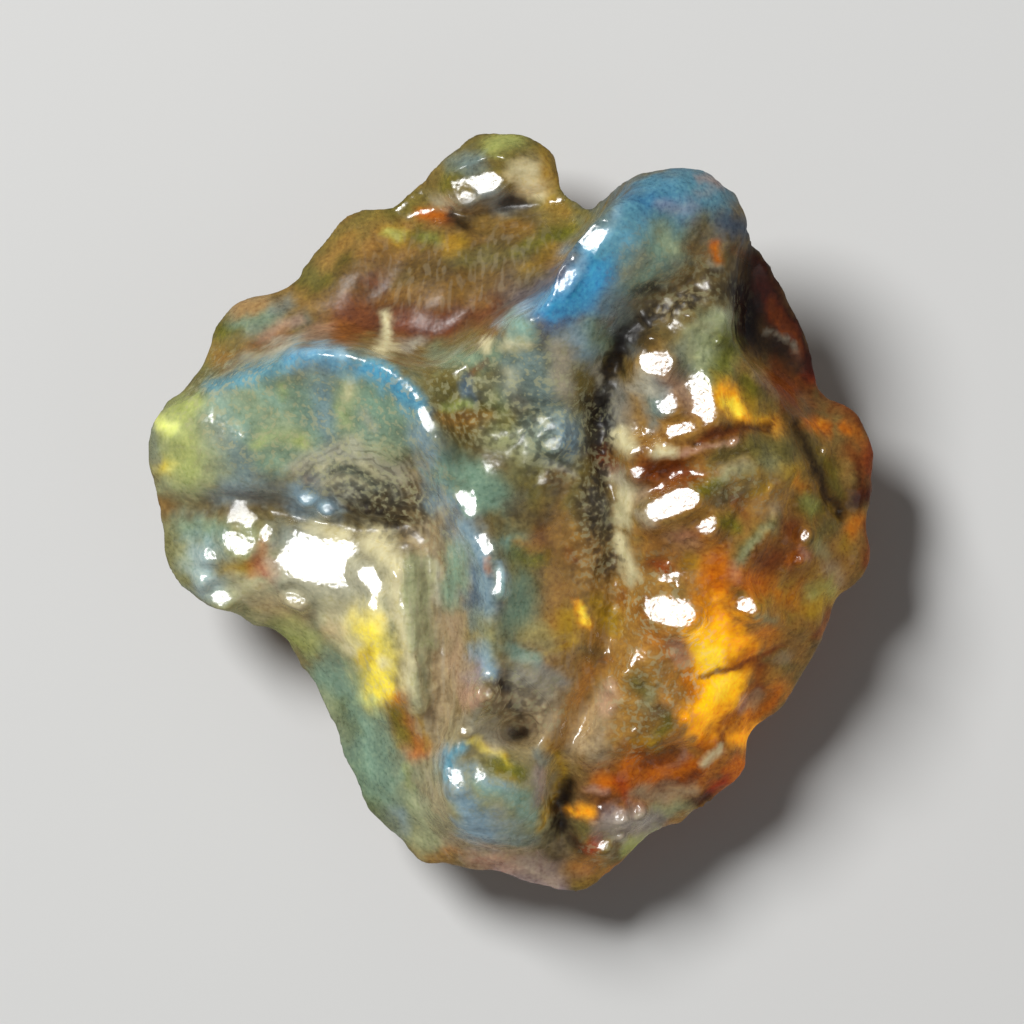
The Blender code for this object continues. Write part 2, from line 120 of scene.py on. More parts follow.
def finish_with(obj, kind, **settings):
    """Adds a modifier with these settings and applies it."""
    modifier = obj.modifiers.new(kind.lower(), kind)
    for name, value in settings.items():
        setattr(modifier, name, value)
    bpy.ops.object.modifier_apply(modifier=modifier.name)


finish_with(stone, "REMESH", mode="VOXEL", voxel_size=SKIN_MESH)
finish_with(stone, "SMOOTH", factor=0.5, iterations=8)
skin = stone.data


def skin_values(name):
    """The places or normals of the skin's points, one row each."""
    values = np.empty(len(skin.vertices) * 3)
    skin.vertices.foreach_get(name, values)
    return values.reshape(-1, 3)


def smooth_step(value, low, high):
    share = np.clip((value - low) / (high - low), 0, 1)
    return share * share * (3 - 2 * share)


def distance_to(line, x, y):
    """Distance in plan from each place to a line through these points."""
    if len(line) == 1:
        return np.hypot(x - line[0][0], y - line[0][1])
    nearest = np.full(x.shape, np.inf)
    for (ax, ay), (bx, by) in zip(line[:-1], line[1:]):
        run_x, run_y = bx - ax, by - ay
        share = np.clip(((x - ax) * run_x + (y - ay) * run_y) / (run_x**2 + run_y**2), 0, 1)
        nearest = np.minimum(nearest, np.hypot(x - ax - share * run_x, y - ay - share * run_y))
    return nearest


def swells(places, size, octaves=3, shift=0):
    """Noise of about -1 to 1 at each place, with swells of this size."""
    return np.array([noise.fractal(Vector(place) / size, 1.0, 2.0, octaves) for place in places + shift])


def cells(places, size):
    """Distance, from 0 to about 1, to the nearest of many scattered points about this size apart."""
    return np.array([noise.voronoi(Vector(place) / size)[0][0] for place in places])


def cover_of(strokes, x, y):
    """How much of each place these strokes cover: strength, radius and the points of the stroke's line."""
    cover = np.zeros(len(x))
    for strength, radius, *line in strokes:
        gap = distance_to(line, x, y) / radius
        cover = np.maximum(cover, strength * (1 - smooth_step(gap, 0.4, 1.5)))
    return cover


# The relief, in millimetres. CRUMBLY and BEADED say where the skin is rough: strength, radius and a line.
CRUMBLY = [
    (0.9, 0.56, (7.12, 8.44), (5.6, 7.8), (4.4, 6.84), (3.84, 5.64), (3.52, 4.44), (3.68, 2.84),
        (3.44, 1.24), (3.2, -0.44)),
    (0.7, 0.64, (3.12, 0.44), (3.68, -1.96), (4, -3.56)),
    (0.4, 1.2, (-1.68, 4.44), (0.32, 3.64), (1.72, 2.84), (1.32, 1.24)),
    (0.7, 0.64, (-6.88, 0.44), (-5.28, 0.24), (-4.08, 0.04)), (0.8, 1.04, (-0.48, -7.16), (0.72, -7.76)),
    (0.5, 0.56, (-3.36, -5.96), (-3.12, -9.16)), (0.5, 0.96, (6.32, 8.44), (7.92, 7.24)),
    (0.6, 0.56, (2.16, -11.16), (1.92, -12.76)), (0.5, 0.48, (1.92, -13.16), (-0.48, -13.56)),
]
BEADED = [
    (1, 2.4, (7.12, 4.44), (8.32, 0.44), (7.12, -3.56)), (1, 2.4, (5.52, -5.16), (5.12, -8.36)),
    (0.8, 2, (10.72, 0.44), (11.52, -1.96)), (0.8, 1.6, (4.32, -11.56), (6.72, -11.16)),
    (0.6, 1.6, (-11.68, -1.96), (-7.28, -2.36)), (0.5, 1.2, (-1.28, -11.16), (0.32, -11.96)),
    (0.4, 1.2, (5.52, 10.04), (7.12, 10.84)),
]
# Small rises along a line, and sunk furrows and pits where the rise is negative: rise, radius and the line
SWELLINGS = [
    (0.5, 1.68, (-1.28, -11.24), (-0.28, -11.8)), (-0.35, 0.48, (2, -9.96), (1.76, -11.56)),
    (0.25, 0.64, (5.6, 5.92), (5.92, 5.72)), (0.22, 0.8, (7.44, 4.92), (7.52, 3.96)),
    (0.2, 0.52, (6.2, 4.28)),
    (0.2, 0.36, (6.24, 3.16), (6.96, 3.32)), (0.22, 0.56, (4.96, 2.24), (5, 1.56)),
    (0.22, 0.48, (5.6, -0.04), (6.96, 0.52)), (0.2, 0.48, (7.72, -0.56)),
    (0.28, 0.8, (6.08, -3.88), (6.72, -4.12)), (0.22, 0.48, (9.2, -3.64)), (0.2, 0.56, (11.64, -1)),
    (0.14, 0.32, (11.4, -1.88)), (0.2, 0.48, (4.32, -12.04)), (0.2, 0.4, (5.12, -11.96)),
    (0.2, 0.56, (3.64, -13.32)), (0.2, 0.64, (-10.68, -0.2)), (0.18, 0.48, (-9.76, -0.84)),
    (0.18, 0.64, (-11.04, -1.24)), (0.18, 0.48, (-12.08, -1.72)), (0.18, 0.48, (-12.24, -2.68)),
    (0.2, 0.56, (-11.6, -3.48)), (0.15, 0.4, (-5.52, -3.76)), (0.2, 0.4, (-8.16, 0.56)),
    (0.2, 0.4, (-7.36, 0.16)), (0.2, 0.72, (-1.68, 13), (-1.12, 13.16)), (0.2, 0.48, (1.64, 2.76)),
    (0.16, 0.24, (6.88, 2.2), (7.84, 2.52), (8.72, 2.84)),
    (0.14, 0.28, (9, -2.68), (9.52, -1.8), (10.56, -0.28)), (0.14, 0.24, (9.72, -4.04), (11.52, -4.68)),
    (0.12, 0.24, (8.16, 5.56), (8.8, 4.64), (9.04, 3.72)),
    (0.12, 0.28, (8, 1.24), (8.96, 1.88), (9.84, 2.36)),
    (0.12, 0.28, (9.32, -0.04), (10.32, 0.84), (11.12, 1.64)), (0.1, 0.24, (5.72, -1.64), (7.12, -1.96)),
    (0.12, 0.24, (7.52, -2.44), (7.76, -3.56)), (0.12, 0.24, (9.2, -7.16), (8.4, -8.44), (8, -9.24)),
    (0.14, 0.24, (7.52, -10.12), (8.16, -9.32)), (0.12, 0.32, (5.52, -9.24), (7.12, -8.76)),
    (0.1, 0.24, (5.12, -7.16), (6.24, -7.56)), (0.12, 0.32, (3.52, -8.2), (4.4, -7.56)),
    (-0.14, 0.2, (7.12, 3), (8.56, 3.24), (10.08, 3.48)), (-0.14, 0.2, (7.12, 1), (8.48, 0.76), (9.6, 1.24)),
    (-0.14, 0.24, (7.52, -1.16), (8.4, -0.84), (9.12, 0.04)),
    (-0.12, 0.16, (10.72, -5.48), (9.6, -5.8), (8.88, -6.52), (7.52, -6.48)),
    (-0.12, 0.16, (9.92, -7.16), (9.32, -7.56), (8.56, -8.44)), (-0.14, 0.24, (5.12, -9.96), (7.12, -9.48)),
    (-0.12, 0.2, (5.12, -1.16), (4.88, -2.76)),
    (-0.3, 0.2, (11.32, 3.48), (12, 2.04), (12.64, 0.6), (13.2, -0.08)), (-0.3, 0.36, (-0.36, -6.84)),
    (-0.45, 0.4, (-0.08, -8.76), (0.56, -8.72)), (-0.15, 0.16, (-3.68, -5.72), (-3.28, -7.56), (-3, -9.16)),
    (0.12, 0.16, (-3, -2.04), (-2.88, -3.72)),
    (0.18, 0.28, (-1.92, -0.52), (-1.28, -1.48), (-0.8, -2.76), (-0.8, -4.36)),
    (0.15, 0.28, (-0.96, -7.16), (-1.68, -8.36), (-2.28, -9.96), (-2.16, -10.96)),
    (-0.1, 0.16, (-0.24, -5.76), (1.12, -5.56), (2.16, -5.16)),
]
# Wet-looking facets that catch the key light: radius and a line
GLINTS = [
    (1.2, (-8.24, -2.04), (-6.8, -2.2)), (0.48, (-5.84, -2.44), (-5.44, -2.92)), (0.32, (-5.52, -3.72)),
    (0.56, (-10.88, -0.04), (-10.48, -0.44)), (0.4, (-9.76, -0.84)), (0.52, (-11.2, -1.16), (-10.8, -1.4)),
    (0.4, (-12.08, -1.72)), (0.4, (-12.2, -2.68)), (0.56, (-11.64, -3.44)),
    (0.4, (-8.8, -3.4), (-8.48, -3.56)),
    (0.32, (-8.16, 0.56)), (0.32, (-7.36, 0.16)), (0.32, (-3.52, 3.96), (-3.28, 3.4)),
    (0.36, (-1.96, 0.68), (-1.6, 0.04)), (0.24, (-1.2, -0.92), (-0.8, -1.48)),
    (0.28, (-0.6, -2.36), (-0.56, -3.16)), (0.24, (-0.96, -7.16)), (0.24, (-1.88, -8.68)),
    (0.32, (-2.4, -10.28), (-2.08, -10.84)), (0.4, (2.96, 10.52), (3.44, 10.92)),
    (0.32, (2.04, 8.88), (2.32, 9.36)), (0.64, (-1.84, 12.92), (-0.88, 13.24)), (0.36, (-1.84, 12.52)),
    (0.6, (5.52, 5.96), (5.96, 5.8)), (0.76, (7.32, 4.88), (7.56, 3.96)), (0.52, (6.2, 4.28)),
    (0.36, (6.32, 3.16), (6.96, 3.32)), (0.4, (4.96, 2.24)), (0.4, (4.96, 1.6)),
    (0.56, (5.68, 0), (6.88, 0.52)), (0.48, (7.72, -0.56)), (0.68, (6, -3.72), (6.8, -4.12)),
    (0.4, (9.12, -3.52), (9.52, -3.84)), (0.36, (11.64, -0.96)), (0.24, (11.4, -1.88)), (0.4, (1.64, 2.72)),
    (0.2, (1.56, 3.4)), (0.36, (4.32, -12.08)), (0.32, (5.04, -11.96)), (0.36, (3.64, -13.32)),
    (0.2, (4.32, -12.92)), (0.2, (5.6, 1.36)), (0.2, (5.88, 1.08)), (0.24, (8.68, 2.8)), (0.16, (8.08, 2.6)),
    (0.16, (7.32, 2.44)), (0.2, (12.4, 2.44)), (0.16, (11.16, -3.4)), (0.2, (6.84, -8.16)),
    (0.2, (4.84, -8.64)), (0.2, (4, -7)), (0.2, (6.16, -2.08)), (0.16, (12.4, -2.2)), (0.16, (10.16, 0.96)),
    (0.16, (10.36, -0.16)), (0.2, (8.08, 6.8)),
]
HORN_CREST = [(4.4, 11), (3.6, 10.16), (3.04, 9.56), (2.76, 9)]
LEAN, LEAN_REACH, LEAN_WAY = 0.72, 1.1, (-0.78, 0.63, 0)  # The crest leans out, towards the light
GLINT_PLATEAU = 1.3  # how far past its radius a facet reaches before it falls away
places = skin_values("co") / MM
facing = skin_values("normal")
x, y, z = places.T
lean = LEAN * np.exp(-((distance_to(HORN_CREST, x, y) / LEAN_REACH) ** 2)) * smooth_step(z, 10, 14)
places += lean[:, None] * np.array(LEAN_WAY)
x, y, z = places.T
upward = smooth_step(facing[:, 2], -0.1, 0.35)
crumbly = cover_of(CRUMBLY, x, y) * upward
beaded = cover_of(BEADED, x, y) * upward
sparkly = beaded * (1 - cover_of([(1.0, *glint) for glint in GLINTS], x, y))
# Soft waves on the top, crumbs of the crust, beads and tiny beads of the amber face, and the broken underside
push = 0.06 * swells(places, 1.1) * upward + 0.02 * swells(places, 0.4)
push += 0.3 * crumbly * swells(places, 0.8, 4)
push += 0.18 * beaded * (0.5 - cells(places + 0.2 * swells(places, 0.7)[:, None], 1.05))
push += 0.2 * sparkly * (1 - smooth_step(cells(places, 0.62), 0.04, 0.3))
push += (1 - upward) * (0.16 * swells(places, 1.6, 4) - 0.1 * cells(places, 2.2))
for rise, radius, *line in SWELLINGS:
    push += rise * np.exp(-((distance_to(line, x, y) / radius) ** 2)) * upward
places += facing * push[:, None]
for radius, *line in GLINTS:
    middle = np.mean(line, axis=0)
    gap = distance_to(line, places[:, 0], places[:, 1]) / radius
    share = np.exp(-((gap / GLINT_PLATEAU) ** 6)) * upward
    weight = share * np.exp(min(2, 0.5 / radius) * (places[:, 2] - places[:, 2].max()))  # The top counts most
    level = (places[:, 2] * weight).sum() / weight.sum()
    spot = Vector((*middle, level)) * MM
    half = ((KEY_PLACE - spot).normalized() + (CAMERA_PLACE - spot).normalized()).normalized()
    facet = level - ((places[:, 0] - middle[0]) * half.x + (places[:, 1] - middle[1]) * half.y) / half.z
    near = (share > 0.02) & (np.abs(places[:, 2] - level) < 0.8 + radius)
    places[near, 2] += (share * (facet - places[:, 2]))[near]
skin.vertices.foreach_set("co", (places * MM).ravel())
skin.update()
finish_with(stone, "SMOOTH", factor=0.5, iterations=1)
finish_with(stone, "DECIMATE", ratio=SKIN_TRIANGLES / (2 * len(skin.polygons)))
skin = stone.data
inset = 0.01 * MM  # The skin is held this far inside the solid's box
held = np.clip(skin_values("co"), np.array(cad_box[0]) + inset, np.array(cad_box[1]) - inset)
skin.vertices.foreach_set("co", held.ravel())
skin.update()

# Colours of the resin, its crust and its painted glow, in sRGB out of 255
PALETTE = {
    "azure": (58, 158, 206), "sky": (97, 158, 178), "vivid blue": (14, 92, 146), "pale blue": (180, 220, 242),
    "steel": (143, 177, 193), "denim": (76, 97, 117), "teal": (134, 168, 144), "pale teal": (158, 199, 181),
    "slate": (124, 147, 144), "sage": (175, 186, 140), "green": (109, 112, 28), "lime": (192, 206, 116),
    "bright lime": (240, 249, 139), "cream": (241, 231, 180), "bone": (200, 196, 172),
    "yellow": (245, 221, 65), "gold": (176, 140, 34), "golden": (240, 156, 8), "flame": (252, 188, 16),
    "amber": (182, 101, 8), "orange": (184, 96, 8), "red": (148, 46, 16), "deep red": (52, 12, 4),
    "rust": (124, 60, 18), "ochre": (168, 124, 58), "olive": (120, 114, 58), "umber": (114, 99, 64),
    "brown": (100, 76, 24), "maroon": (104, 52, 32), "dark": (24, 19, 16), "black": (8, 6, 7),
    "taupe": (184, 163, 125), "pink": (208, 163, 138), "lilac": (183, 166, 180), "grey": (126, 142, 144),
}
# How strongly each colour is painted as glowing from inside: painted light standing in for light passing
# through the resin, and for the blue glow of the ridges
PAINTED_GLOW = {
    "sky": 0.2, "azure": 0.3, "vivid blue": 0.4, "pale blue": 0.1, "yellow": 1, "gold": 0.3, "golden": 1.2,
    "flame": 1.4, "amber": 0.8, "orange": 0.6, "red": 0.5, "rust": 0.2, "deep red": 0.2, "bright lime": 0.5,
    "ochre": 0.1,
}
# Strokes of colour laid on from above: colour, strength in percent, radius in tenths of a millimetre, then
# x and y of each point along the stroke, also in tenths
STROKES = [
    # wide ground colours
    ("ochre", 80, 30, -65, 100, -33, 104, -1, 102), ("olive", 80, 19.2, -17, 136, 3, 144, 13, 128),
    ("teal", 85, 20.8, -115, 36, -85, 40, -57, 36), ("sage", 80, 24, -129, -20, -89, -32, -57, -40),
    ("olive", 70, 24, -13, 36, 11, 28, 19, 44), ("vivid blue", 70, 16, 11, 82, 31, 90, 51, 110, 71, 124),
    ("ochre", 85, 34, 75, 28, 103, 4, 111, -20), ("ochre", 80, 30, 55, -52, 51, -84, 71, -76),
    ("taupe", 80, 13.6, -32, 4, -31, -36, -32, -76, -30, -108), ("sage", 70, 22, -21, -116, -1, -120),
    ("teal", 80, 13.6, -67, -72, -57, -96, -51, -116), ("ochre", 70, 18, 19, -20, 27, -44, 23, -68),
    ("rust", 80, 14.4, 39, -112, 67, -104, 83, -100), ("deep red", 90, 13.6, 103, 88, 111, 68, 119, 56),
    ("taupe", 70, 16, 7, -72, 13, -84),
    # amber face, its ground
    ("ochre", 90, 24.8, 71, 36, 93, 16, 111, -12), ("rust", 80, 10.4, 57, 16, 75, 16),
    ("ochre", 85, 16, 57, -20, 75, -14), ("ochre", 90, 24, 53, -52, 55, -76, 71, -84),
    ("olive", 70, 10.4, 91, 22, 109, 24), ("gold", 60, 12, 103, -36, 118, -36),
    ("rust", 70, 9.6, 101, -20, 111, -10), ("orange", 80, 10.4, 51, -106, 71, -102),
    # left knob and edge
    ("olive", 90, 8, -136, 44, -125, 58, -116, 70), ("taupe", 90, 3.6, -111, 82, -100, 84),
    ("teal", 80, 4.4, -111, 73, -96, 77), ("green", 80, 2.8, -117, 72, -110, 71),
    ("slate", 60, 3.2, -94, 81, -90, 84), ("rust", 70, 3.2, -109, 66, -90, 69),
    ("ochre", 80, 5.2, -116, 62, -109, 64), ("bone", 70, 3.6, -105, 60, -92, 64),
    ("slate", 80, 3.2, -112, 56, -100, 58), ("bone", 70, 2.8, -97, 64, -85, 69, -74, 70),
    # left face
    ("slate", 80, 8.8, -115, 32, -109, 16), ("slate", 70, 6.4, -76, 52, -74, 32),
    ("steel", 60, 4.8, -76, 46, -74, 34), ("teal", 70, 8, -51, 44, -44, 34),
    ("sage", 75, 6.8, -105, 44, -90, 36, -84, 28), ("lime", 35, 3.6, -66, 46, -66, 28),
    ("sage", 70, 3.6, -63, 52, -65, 44), ("teal", 70, 4.8, -100, 20, -88, 22),
    ("teal", 60, 3.6, -83, 38, -77, 28), ("lime", 30, 3.2, -100, 30, -85, 30),
    ("bone", 40, 5.6, -115, 44, -114, 32),
    ("sky", 60, 4, -119, 50, -105, 53, -95, 58, -85, 63, -73, 65, -64, 61, -54, 57, -45, 50, -38, 42),
    ("sky", 80, 3.2, -56, 58, -48, 55, -42, 48), ("pale blue", 60, 2, -85, 64, -73, 65, -67, 62),
    # left tip
    ("sage", 90, 12, -140, 28, -132, 32, -126, 16), ("lime", 60, 7.2, -133, 28, -129, 16),
    ("lime", 80, 3.6, -133, 40, -126, 43), ("bright lime", 100, 3.2, -140, 35, -137, 34),
    ("yellow", 60, 3.6, -140, 18, -138, 18), ("sage", 80, 5.2, -138, 11, -126, 8),
    ("grey", 60, 2.4, -145, 32, -143, 20),
    # ledge
    ("umber", 85, 5.2, -141, 2, -125, 0, -105, 3, -85, 2), ("ochre", 50, 2.8, -141, 4, -138, 1),
    ("grey", 60, 4, -119, 6, -108, 8), ("bone", 75, 3.6, -85, 18, -73, 24, -57, 22, -44, 14),
    ("cream", 60, 2.4, -65, 27, -62, 25), ("cream", 70, 1.6, -71, 14, -66, 14),
    ("rust", 50, 2, -82, 13, -78, 12), ("umber", 85, 8.8, -68, 4, -53, 4, -40, 4),
    ("dark", 60, 4.8, -61, 0, -48, -4), ("steel", 90, 5.2, -83, 5, -72, 1),
    # wet lobe
    ("olive", 60, 4.8, -138, -12, -137, -27, -125, -34), ("teal", 70, 5.2, -130, -6, -119, -8),
    ("pale blue", 50, 8, -123, -18, -120, -28), ("sage", 70, 4, -105, -8, -103, -16),
    ("gold", 80, 3.2, -109, -22, -100, -20), ("olive", 60, 3.2, -114, -24, -109, -26),
    ("orange", 70, 3.2, -99, -14, -97, -26), ("rust", 70, 2.4, -98, -27, -94, -26),
    ("pink", 60, 2, -94, -20, -93, -24), ("bone", 70, 16, -85, -26, -61, -28),
    ("cream", 80, 4, -78, -8, -68, -10), ("cream", 95, 4.8, -56, -10, -48, -18, -43, -32, -40, -52, -37, -72),
    ("ochre", 50, 5.6, -100, -36, -85, -42), ("green", 70, 3.2, -98, -47, -89, -52),
    ("olive", 70, 3.2, -85, -52, -80, -58), ("cream", 60, 5.2, -73, -39, -53, -41),
    ("amber", 50, 3.6, -73, -47, -68, -47), ("yellow", 90, 8, -58, -48, -55, -60, -54, -71),
    ("gold", 60, 3.6, -61, -60, -58, -58), ("cream", 80, 2.4, -65, -54, -64, -54),
    ("cream", 70, 2, -52, -60, -51, -60), ("yellow", 90, 3.6, -50, -72, -58, -74),
    ("bright lime", 50, 1.6, -62, -75, -55, -76), ("orange", 85, 4.4, -46, -76, -42, -86, -38, -94),
    ("gold", 50, 2, -37, -80, -35, -92),
    # green leg
    ("teal", 90, 8.8, -72, -66, -66, -76, -60, -92, -54, -114), ("green", 50, 5.6, -64, -104, -56, -122),
    ("sage", 70, 2.8, -75, -72, -67, -91), ("lime", 40, 2, -43, -102, -40, -110),
    ("slate", 60, 4.8, -47, -122, -46, -128),
    # trough
    ("sage", 70, 2.8, -41, -20, -39, -52), ("umber", 70, 1.4, -37, -57, -33, -76, -30, -92),
    ("umber", 50, 2, -38, -20, -35, -36), ("taupe", 60, 3.2, -20, -36, -21, -52, -19, -68),
    ("pink", 50, 3.6, -18, -73, -15, -76), ("bone", 80, 1.4, -30, -20, -29, -37),
    ("umber", 50, 2.4, -26, -8, -28, -20), ("slate", 50, 3.2, -30, 16, -33, 2),
    ("bone", 40, 2.4, -36, -116, -38, -132), ("taupe", 60, 5.6, -30, -112, -29, -128),
    # spine
    ("steel", 95, 6, -35, 31, -30, 20, -26, 5), ("steel", 90, 6, -19, -5, -13, -20, -11, -36),
    ("teal", 85, 6.8, -22, 16, -10, 8), ("teal", 90, 5.2, -6, 8, -2, 4),
    ("teal", 70, 3.6, -22, -14, -24, -32), ("denim", 80, 2.6, -16, -31, -15, -44),
    ("denim", 50, 2.4, -19, 4, -24, -4), ("pink", 60, 1.8, -10, -19, -10, -23),
    ("teal", 80, 7.6, 1, -14, 5, -32, 2, -45), ("olive", 50, 5.6, 9, -20, 11, -32),
    ("pale teal", 70, 2, -3, -11, 0, -16), ("pale blue", 60, 1.6, -4, -20, -3, -32),
    ("steel", 80, 3.6, -13, -56, -8, -64), ("pale teal", 70, 3.2, 0, -55, 8, -58),
    ("green", 50, 1.6, -2, -61, 11, -61),
    # amber beside the spine
    ("ochre", 80, 8.8, 19, -32, 20, -44, 14, -52), ("gold", 60, 2.4, 3, -12, 11, -13),
    ("steel", 40, 3.2, 11, -61, 20, -68), ("taupe", 80, 9.6, 3, -72, 12, -80),
    ("grey", 60, 4.8, 1, -64, 10, -70), ("black", 90, 2.4, -5, -68, -2, -69),
    ("black", 95, 2.4, 0, -88, 5, -87), ("dark", 50, 2, 0, -77, 3, -80), ("taupe", 60, 6.4, 14, -76, 19, -80),
    ("lilac", 50, 3.2, -14, -60, -16, -66),
    # saddle
    ("olive", 70, 16, -17, 44, 3, 32, 13, 16), ("teal", 70, 5.6, -29, 64, -13, 60, 3, 66),
    ("slate", 70, 6, 7, 58, 15, 44, 19, 64), ("ochre", 80, 4.4, -26, 38, -15, 34),
    ("lime", 60, 2.4, -26, 42, -16, 43), ("steel", 80, 2.8, -18, 50, -16, 46),
    ("cream", 95, 2.2, -11, 66, -10, 64), ("cream", 95, 2.4, -2, 66, 6, 66),
    ("cream", 90, 2.4, -1, 55, 0, 49), ("bone", 60, 2.4, 19, 64, 22, 48), ("rust", 60, 1.6, -16, 55, -10, 59),
    ("steel", 70, 5.2, 18, 33, 24, 26), ("bone", 80, 2, 11, 22, 18, 17, 23, 15),
    ("umber", 70, 6.8, -15, 24, -4, 20, 7, 12), ("rust", 60, 4.8, 18, 12, 14, -4, 11, -18),
    ("umber", 70, 3.2, -3, 2, 6, -2), ("ochre", 60, 3.2, 3, 44, -2, 36), ("lime", 35, 4, -5, 44, 0, 32),
    ("ochre", 80, 8, 22, -10, 30, -20), ("ochre", 60, 5.6, 33, -20, 37, -36),
    ("rust", 70, 2, 22, -15, 24, -20), ("dark", 50, 1.2, 12, -17, 12, -18),
    ("olive", 60, 4, -29, 28, -24, 24),
    # horn
    ("sky", 70, 12, 35, 100, 51, 116, 71, 126), ("vivid blue", 95, 8, 19, 82, 28, 88, 35, 90),
    ("vivid blue", 80, 5.6, 51, 122, 61, 126), ("pale blue", 70, 2.4, -5, 76, 19, 86, 30, 102, 42, 118),
    ("pale teal", 80, 4.4, -1, 76, 6, 71), ("steel", 80, 6, 24, 68, 29, 64),
    ("teal", 80, 8.8, 50, 94, 61, 106), ("slate", 70, 5.6, 39, 84, 46, 76),
    ("olive", 70, 5.2, 77, 114, 71, 104), ("orange", 90, 2, 80, 106, 81, 100),
    ("bone", 70, 1.6, 78, 97, 81, 97), ("pink", 70, 1.6, 74, 132, 82, 130), ("pink", 50, 2, 73, 126, 79, 127),
    ("denim", 90, 4.4, 85, 114, 93, 112), ("slate", 50, 2, 95, 116, 97, 110),
    ("sage", 50, 3.6, 59, 110, 64, 104), ("umber", 85, 5.6, 83, 92, 90, 97),
    ("rust", 50, 2, 88, 104, 93, 102),
    # crusted face behind the crack, and painted shade at the flank's edge
    ("umber", 80, 4.8, 54, 76, 67, 88, 77, 88), ("bone", 50, 2, 69, 85, 75, 84),
    ("dark", 70, 4, 42, 68, 53, 68), ("grey", 60, 3.6, 40, 72, 46, 66),
    ("sage", 90, 7.2, 75, 64, 83, 73, 80, 58), ("green", 60, 5.2, 75, 56, 83, 60),
    ("gold", 50, 2.8, 83, 54, 81, 50), ("bone", 60, 3.2, 81, 78, 86, 77),
    # The dark and black strokes from 96,102 down to 93,72 are painted shade at the edge of the steep flank
    # beyond the crest
    ("dark", 90, 6.4, 96, 102, 94, 88, 93, 72), ("black", 80, 4, 94, 86, 94, 74),
    # dark flank: the resin's own deep red, darkened further with painted shade on the steep side turned away
    # from the key light
    ("deep red", 95, 4.8, 100, 91, 110, 72), ("red", 60, 2.4, 103, 84, 111, 70),
    ("orange", 50, 2, 105, 81, 109, 71), ("dark", 80, 5.6, 96, 68, 106, 64),
    ("bone", 40, 1, 102, 73, 114, 64), ("rust", 80, 7.2, 107, 52, 115, 44),
    ("red", 60, 3.2, 121, 56, 125, 51),
    # crusted crack
    ("umber", 80, 5.2, 75, 85, 66, 83, 55, 78),
    ("dark", 90, 4, 51, 74, 44, 68, 38, 56, 35, 44, 37, 28, 34, 12, 32, -4),
    ("umber", 80, 5.6, 31, 7, 35, -8, 38, -20), ("grey", 60, 5.6, 43, 46, 42, 36),
    ("grey", 50, 3.2, 34, 4, 37, -4), ("teal", 70, 3.2, 56, 44, 58, 40), ("bone", 90, 4.4, 52, 52, 55, 48),
    ("cream", 95, 3.6, 42, 29, 46, 26), ("cream", 90, 2.8, 58, 24, 62, 24),
    ("cream", 90, 2.8, 45, 10, 44, -4), ("cream", 85, 2.6, 43, -12, 48, -26),
    ("bone", 60, 3.2, 39, 16, 42, 14), ("bone", 50, 2.8, 51, -1, 54, -4), ("rust", 70, 3.2, 34, 24, 40, 18),
    ("black", 60, 2.4, 37, 43, 34, 35), ("black", 50, 1.6, 33, -15, 37, -20),
    ("rust", 60, 2.4, 44, -32, 42, -37),
    # bottom bulge
    ("steel", 85, 4.4, -26, -98, -22, -110, -14, -120, -9, -127),
    ("steel", 60, 2.8, -17, -101, -11, -106, -5, -109), ("steel", 60, 2.8, -11, -108, 2, -113),
    ("gold", 80, 1.4, -18, -90, -5, -94, -2, -98), ("olive", 70, 2.8, -11, -99, 3, -105),
    ("gold", 60, 2, -5, -103, 0, -106), ("taupe", 60, 3.2, 11, -98, 14, -112),
    ("pale teal", 80, 4, 4, -116, 7, -120), ("slate", 60, 3.2, 2, -130, 9, -131),
    ("pale blue", 50, 4.8, -18, -127, -10, -131), ("sage", 60, 4, -5, -122, -2, -128),
    # bottom rim
    ("taupe", 80, 4, -25, -132, -5, -136, 11, -140), ("pink", 60, 4, -17, -140, 3, -144),
    ("lilac", 80, 3.6, -5, -145, 19, -150), ("cream", 50, 1.2, 3, -140, 14, -146, 18, -148),
    ("ochre", 70, 3.2, -37, -136, -25, -140), ("amber", 40, 2.4, -25, -136, -22, -136),
    ("sage", 60, 4.8, -43, -128, -37, -133), ("gold", 40, 2, 35, -147, 27, -150),
    # back
    ("olive", 80, 5.6, -78, 100, -57, 118, -33, 124), ("gold", 40, 3.6, -76, 100, -66, 108),
    ("gold", 80, 3.2, -48, 111, -45, 111), ("olive", 60, 3.6, -37, 110, -30, 109),
    ("gold", 75, 4, -26, 107, -20, 107), ("green", 80, 5.2, -82, 93, -76, 92),
    ("rust", 85, 8, -60, 84, -44, 76, -28, 76), ("deep red", 35, 4.8, -40, 74, -29, 72),
    ("orange", 50, 5.2, -62, 76, -67, 72), ("pink", 60, 2.8, -77, 74, -73, 74),
    ("slate", 50, 3.2, -86, 76, -83, 77), ("ochre", 60, 8, -22, 88, -18, 88),
    ("olive", 60, 6.4, -6, 104, 7, 97), ("rust", 50, 3.6, 10, 102, 14, 100),
    ("green", 50, 4.8, 18, 110, 23, 112), ("umber", 60, 3.6, -42, 90, -38, 90),
    ("rust", 60, 3.2, -18, 80, -8, 84), ("umber", 50, 3.2, -9, 100, -12, 96),
    ("cream", 90, 2.4, -51, 80, -50, 66), ("cream", 90, 3.2, -53, 65, -47, 65),
    ("bone", 70, 2.4, -43, 66, -37, 69), ("olive", 60, 3.6, -29, 66, -17, 70),
    ("pink", 50, 2.8, -57, 92, -51, 94), ("sage", 40, 3.2, -45, 90, -43, 94),
    # far lobe
    ("lime", 40, 4.4, -6, 146, 2, 148), ("slate", 50, 4.4, -22, 140, -13, 138),
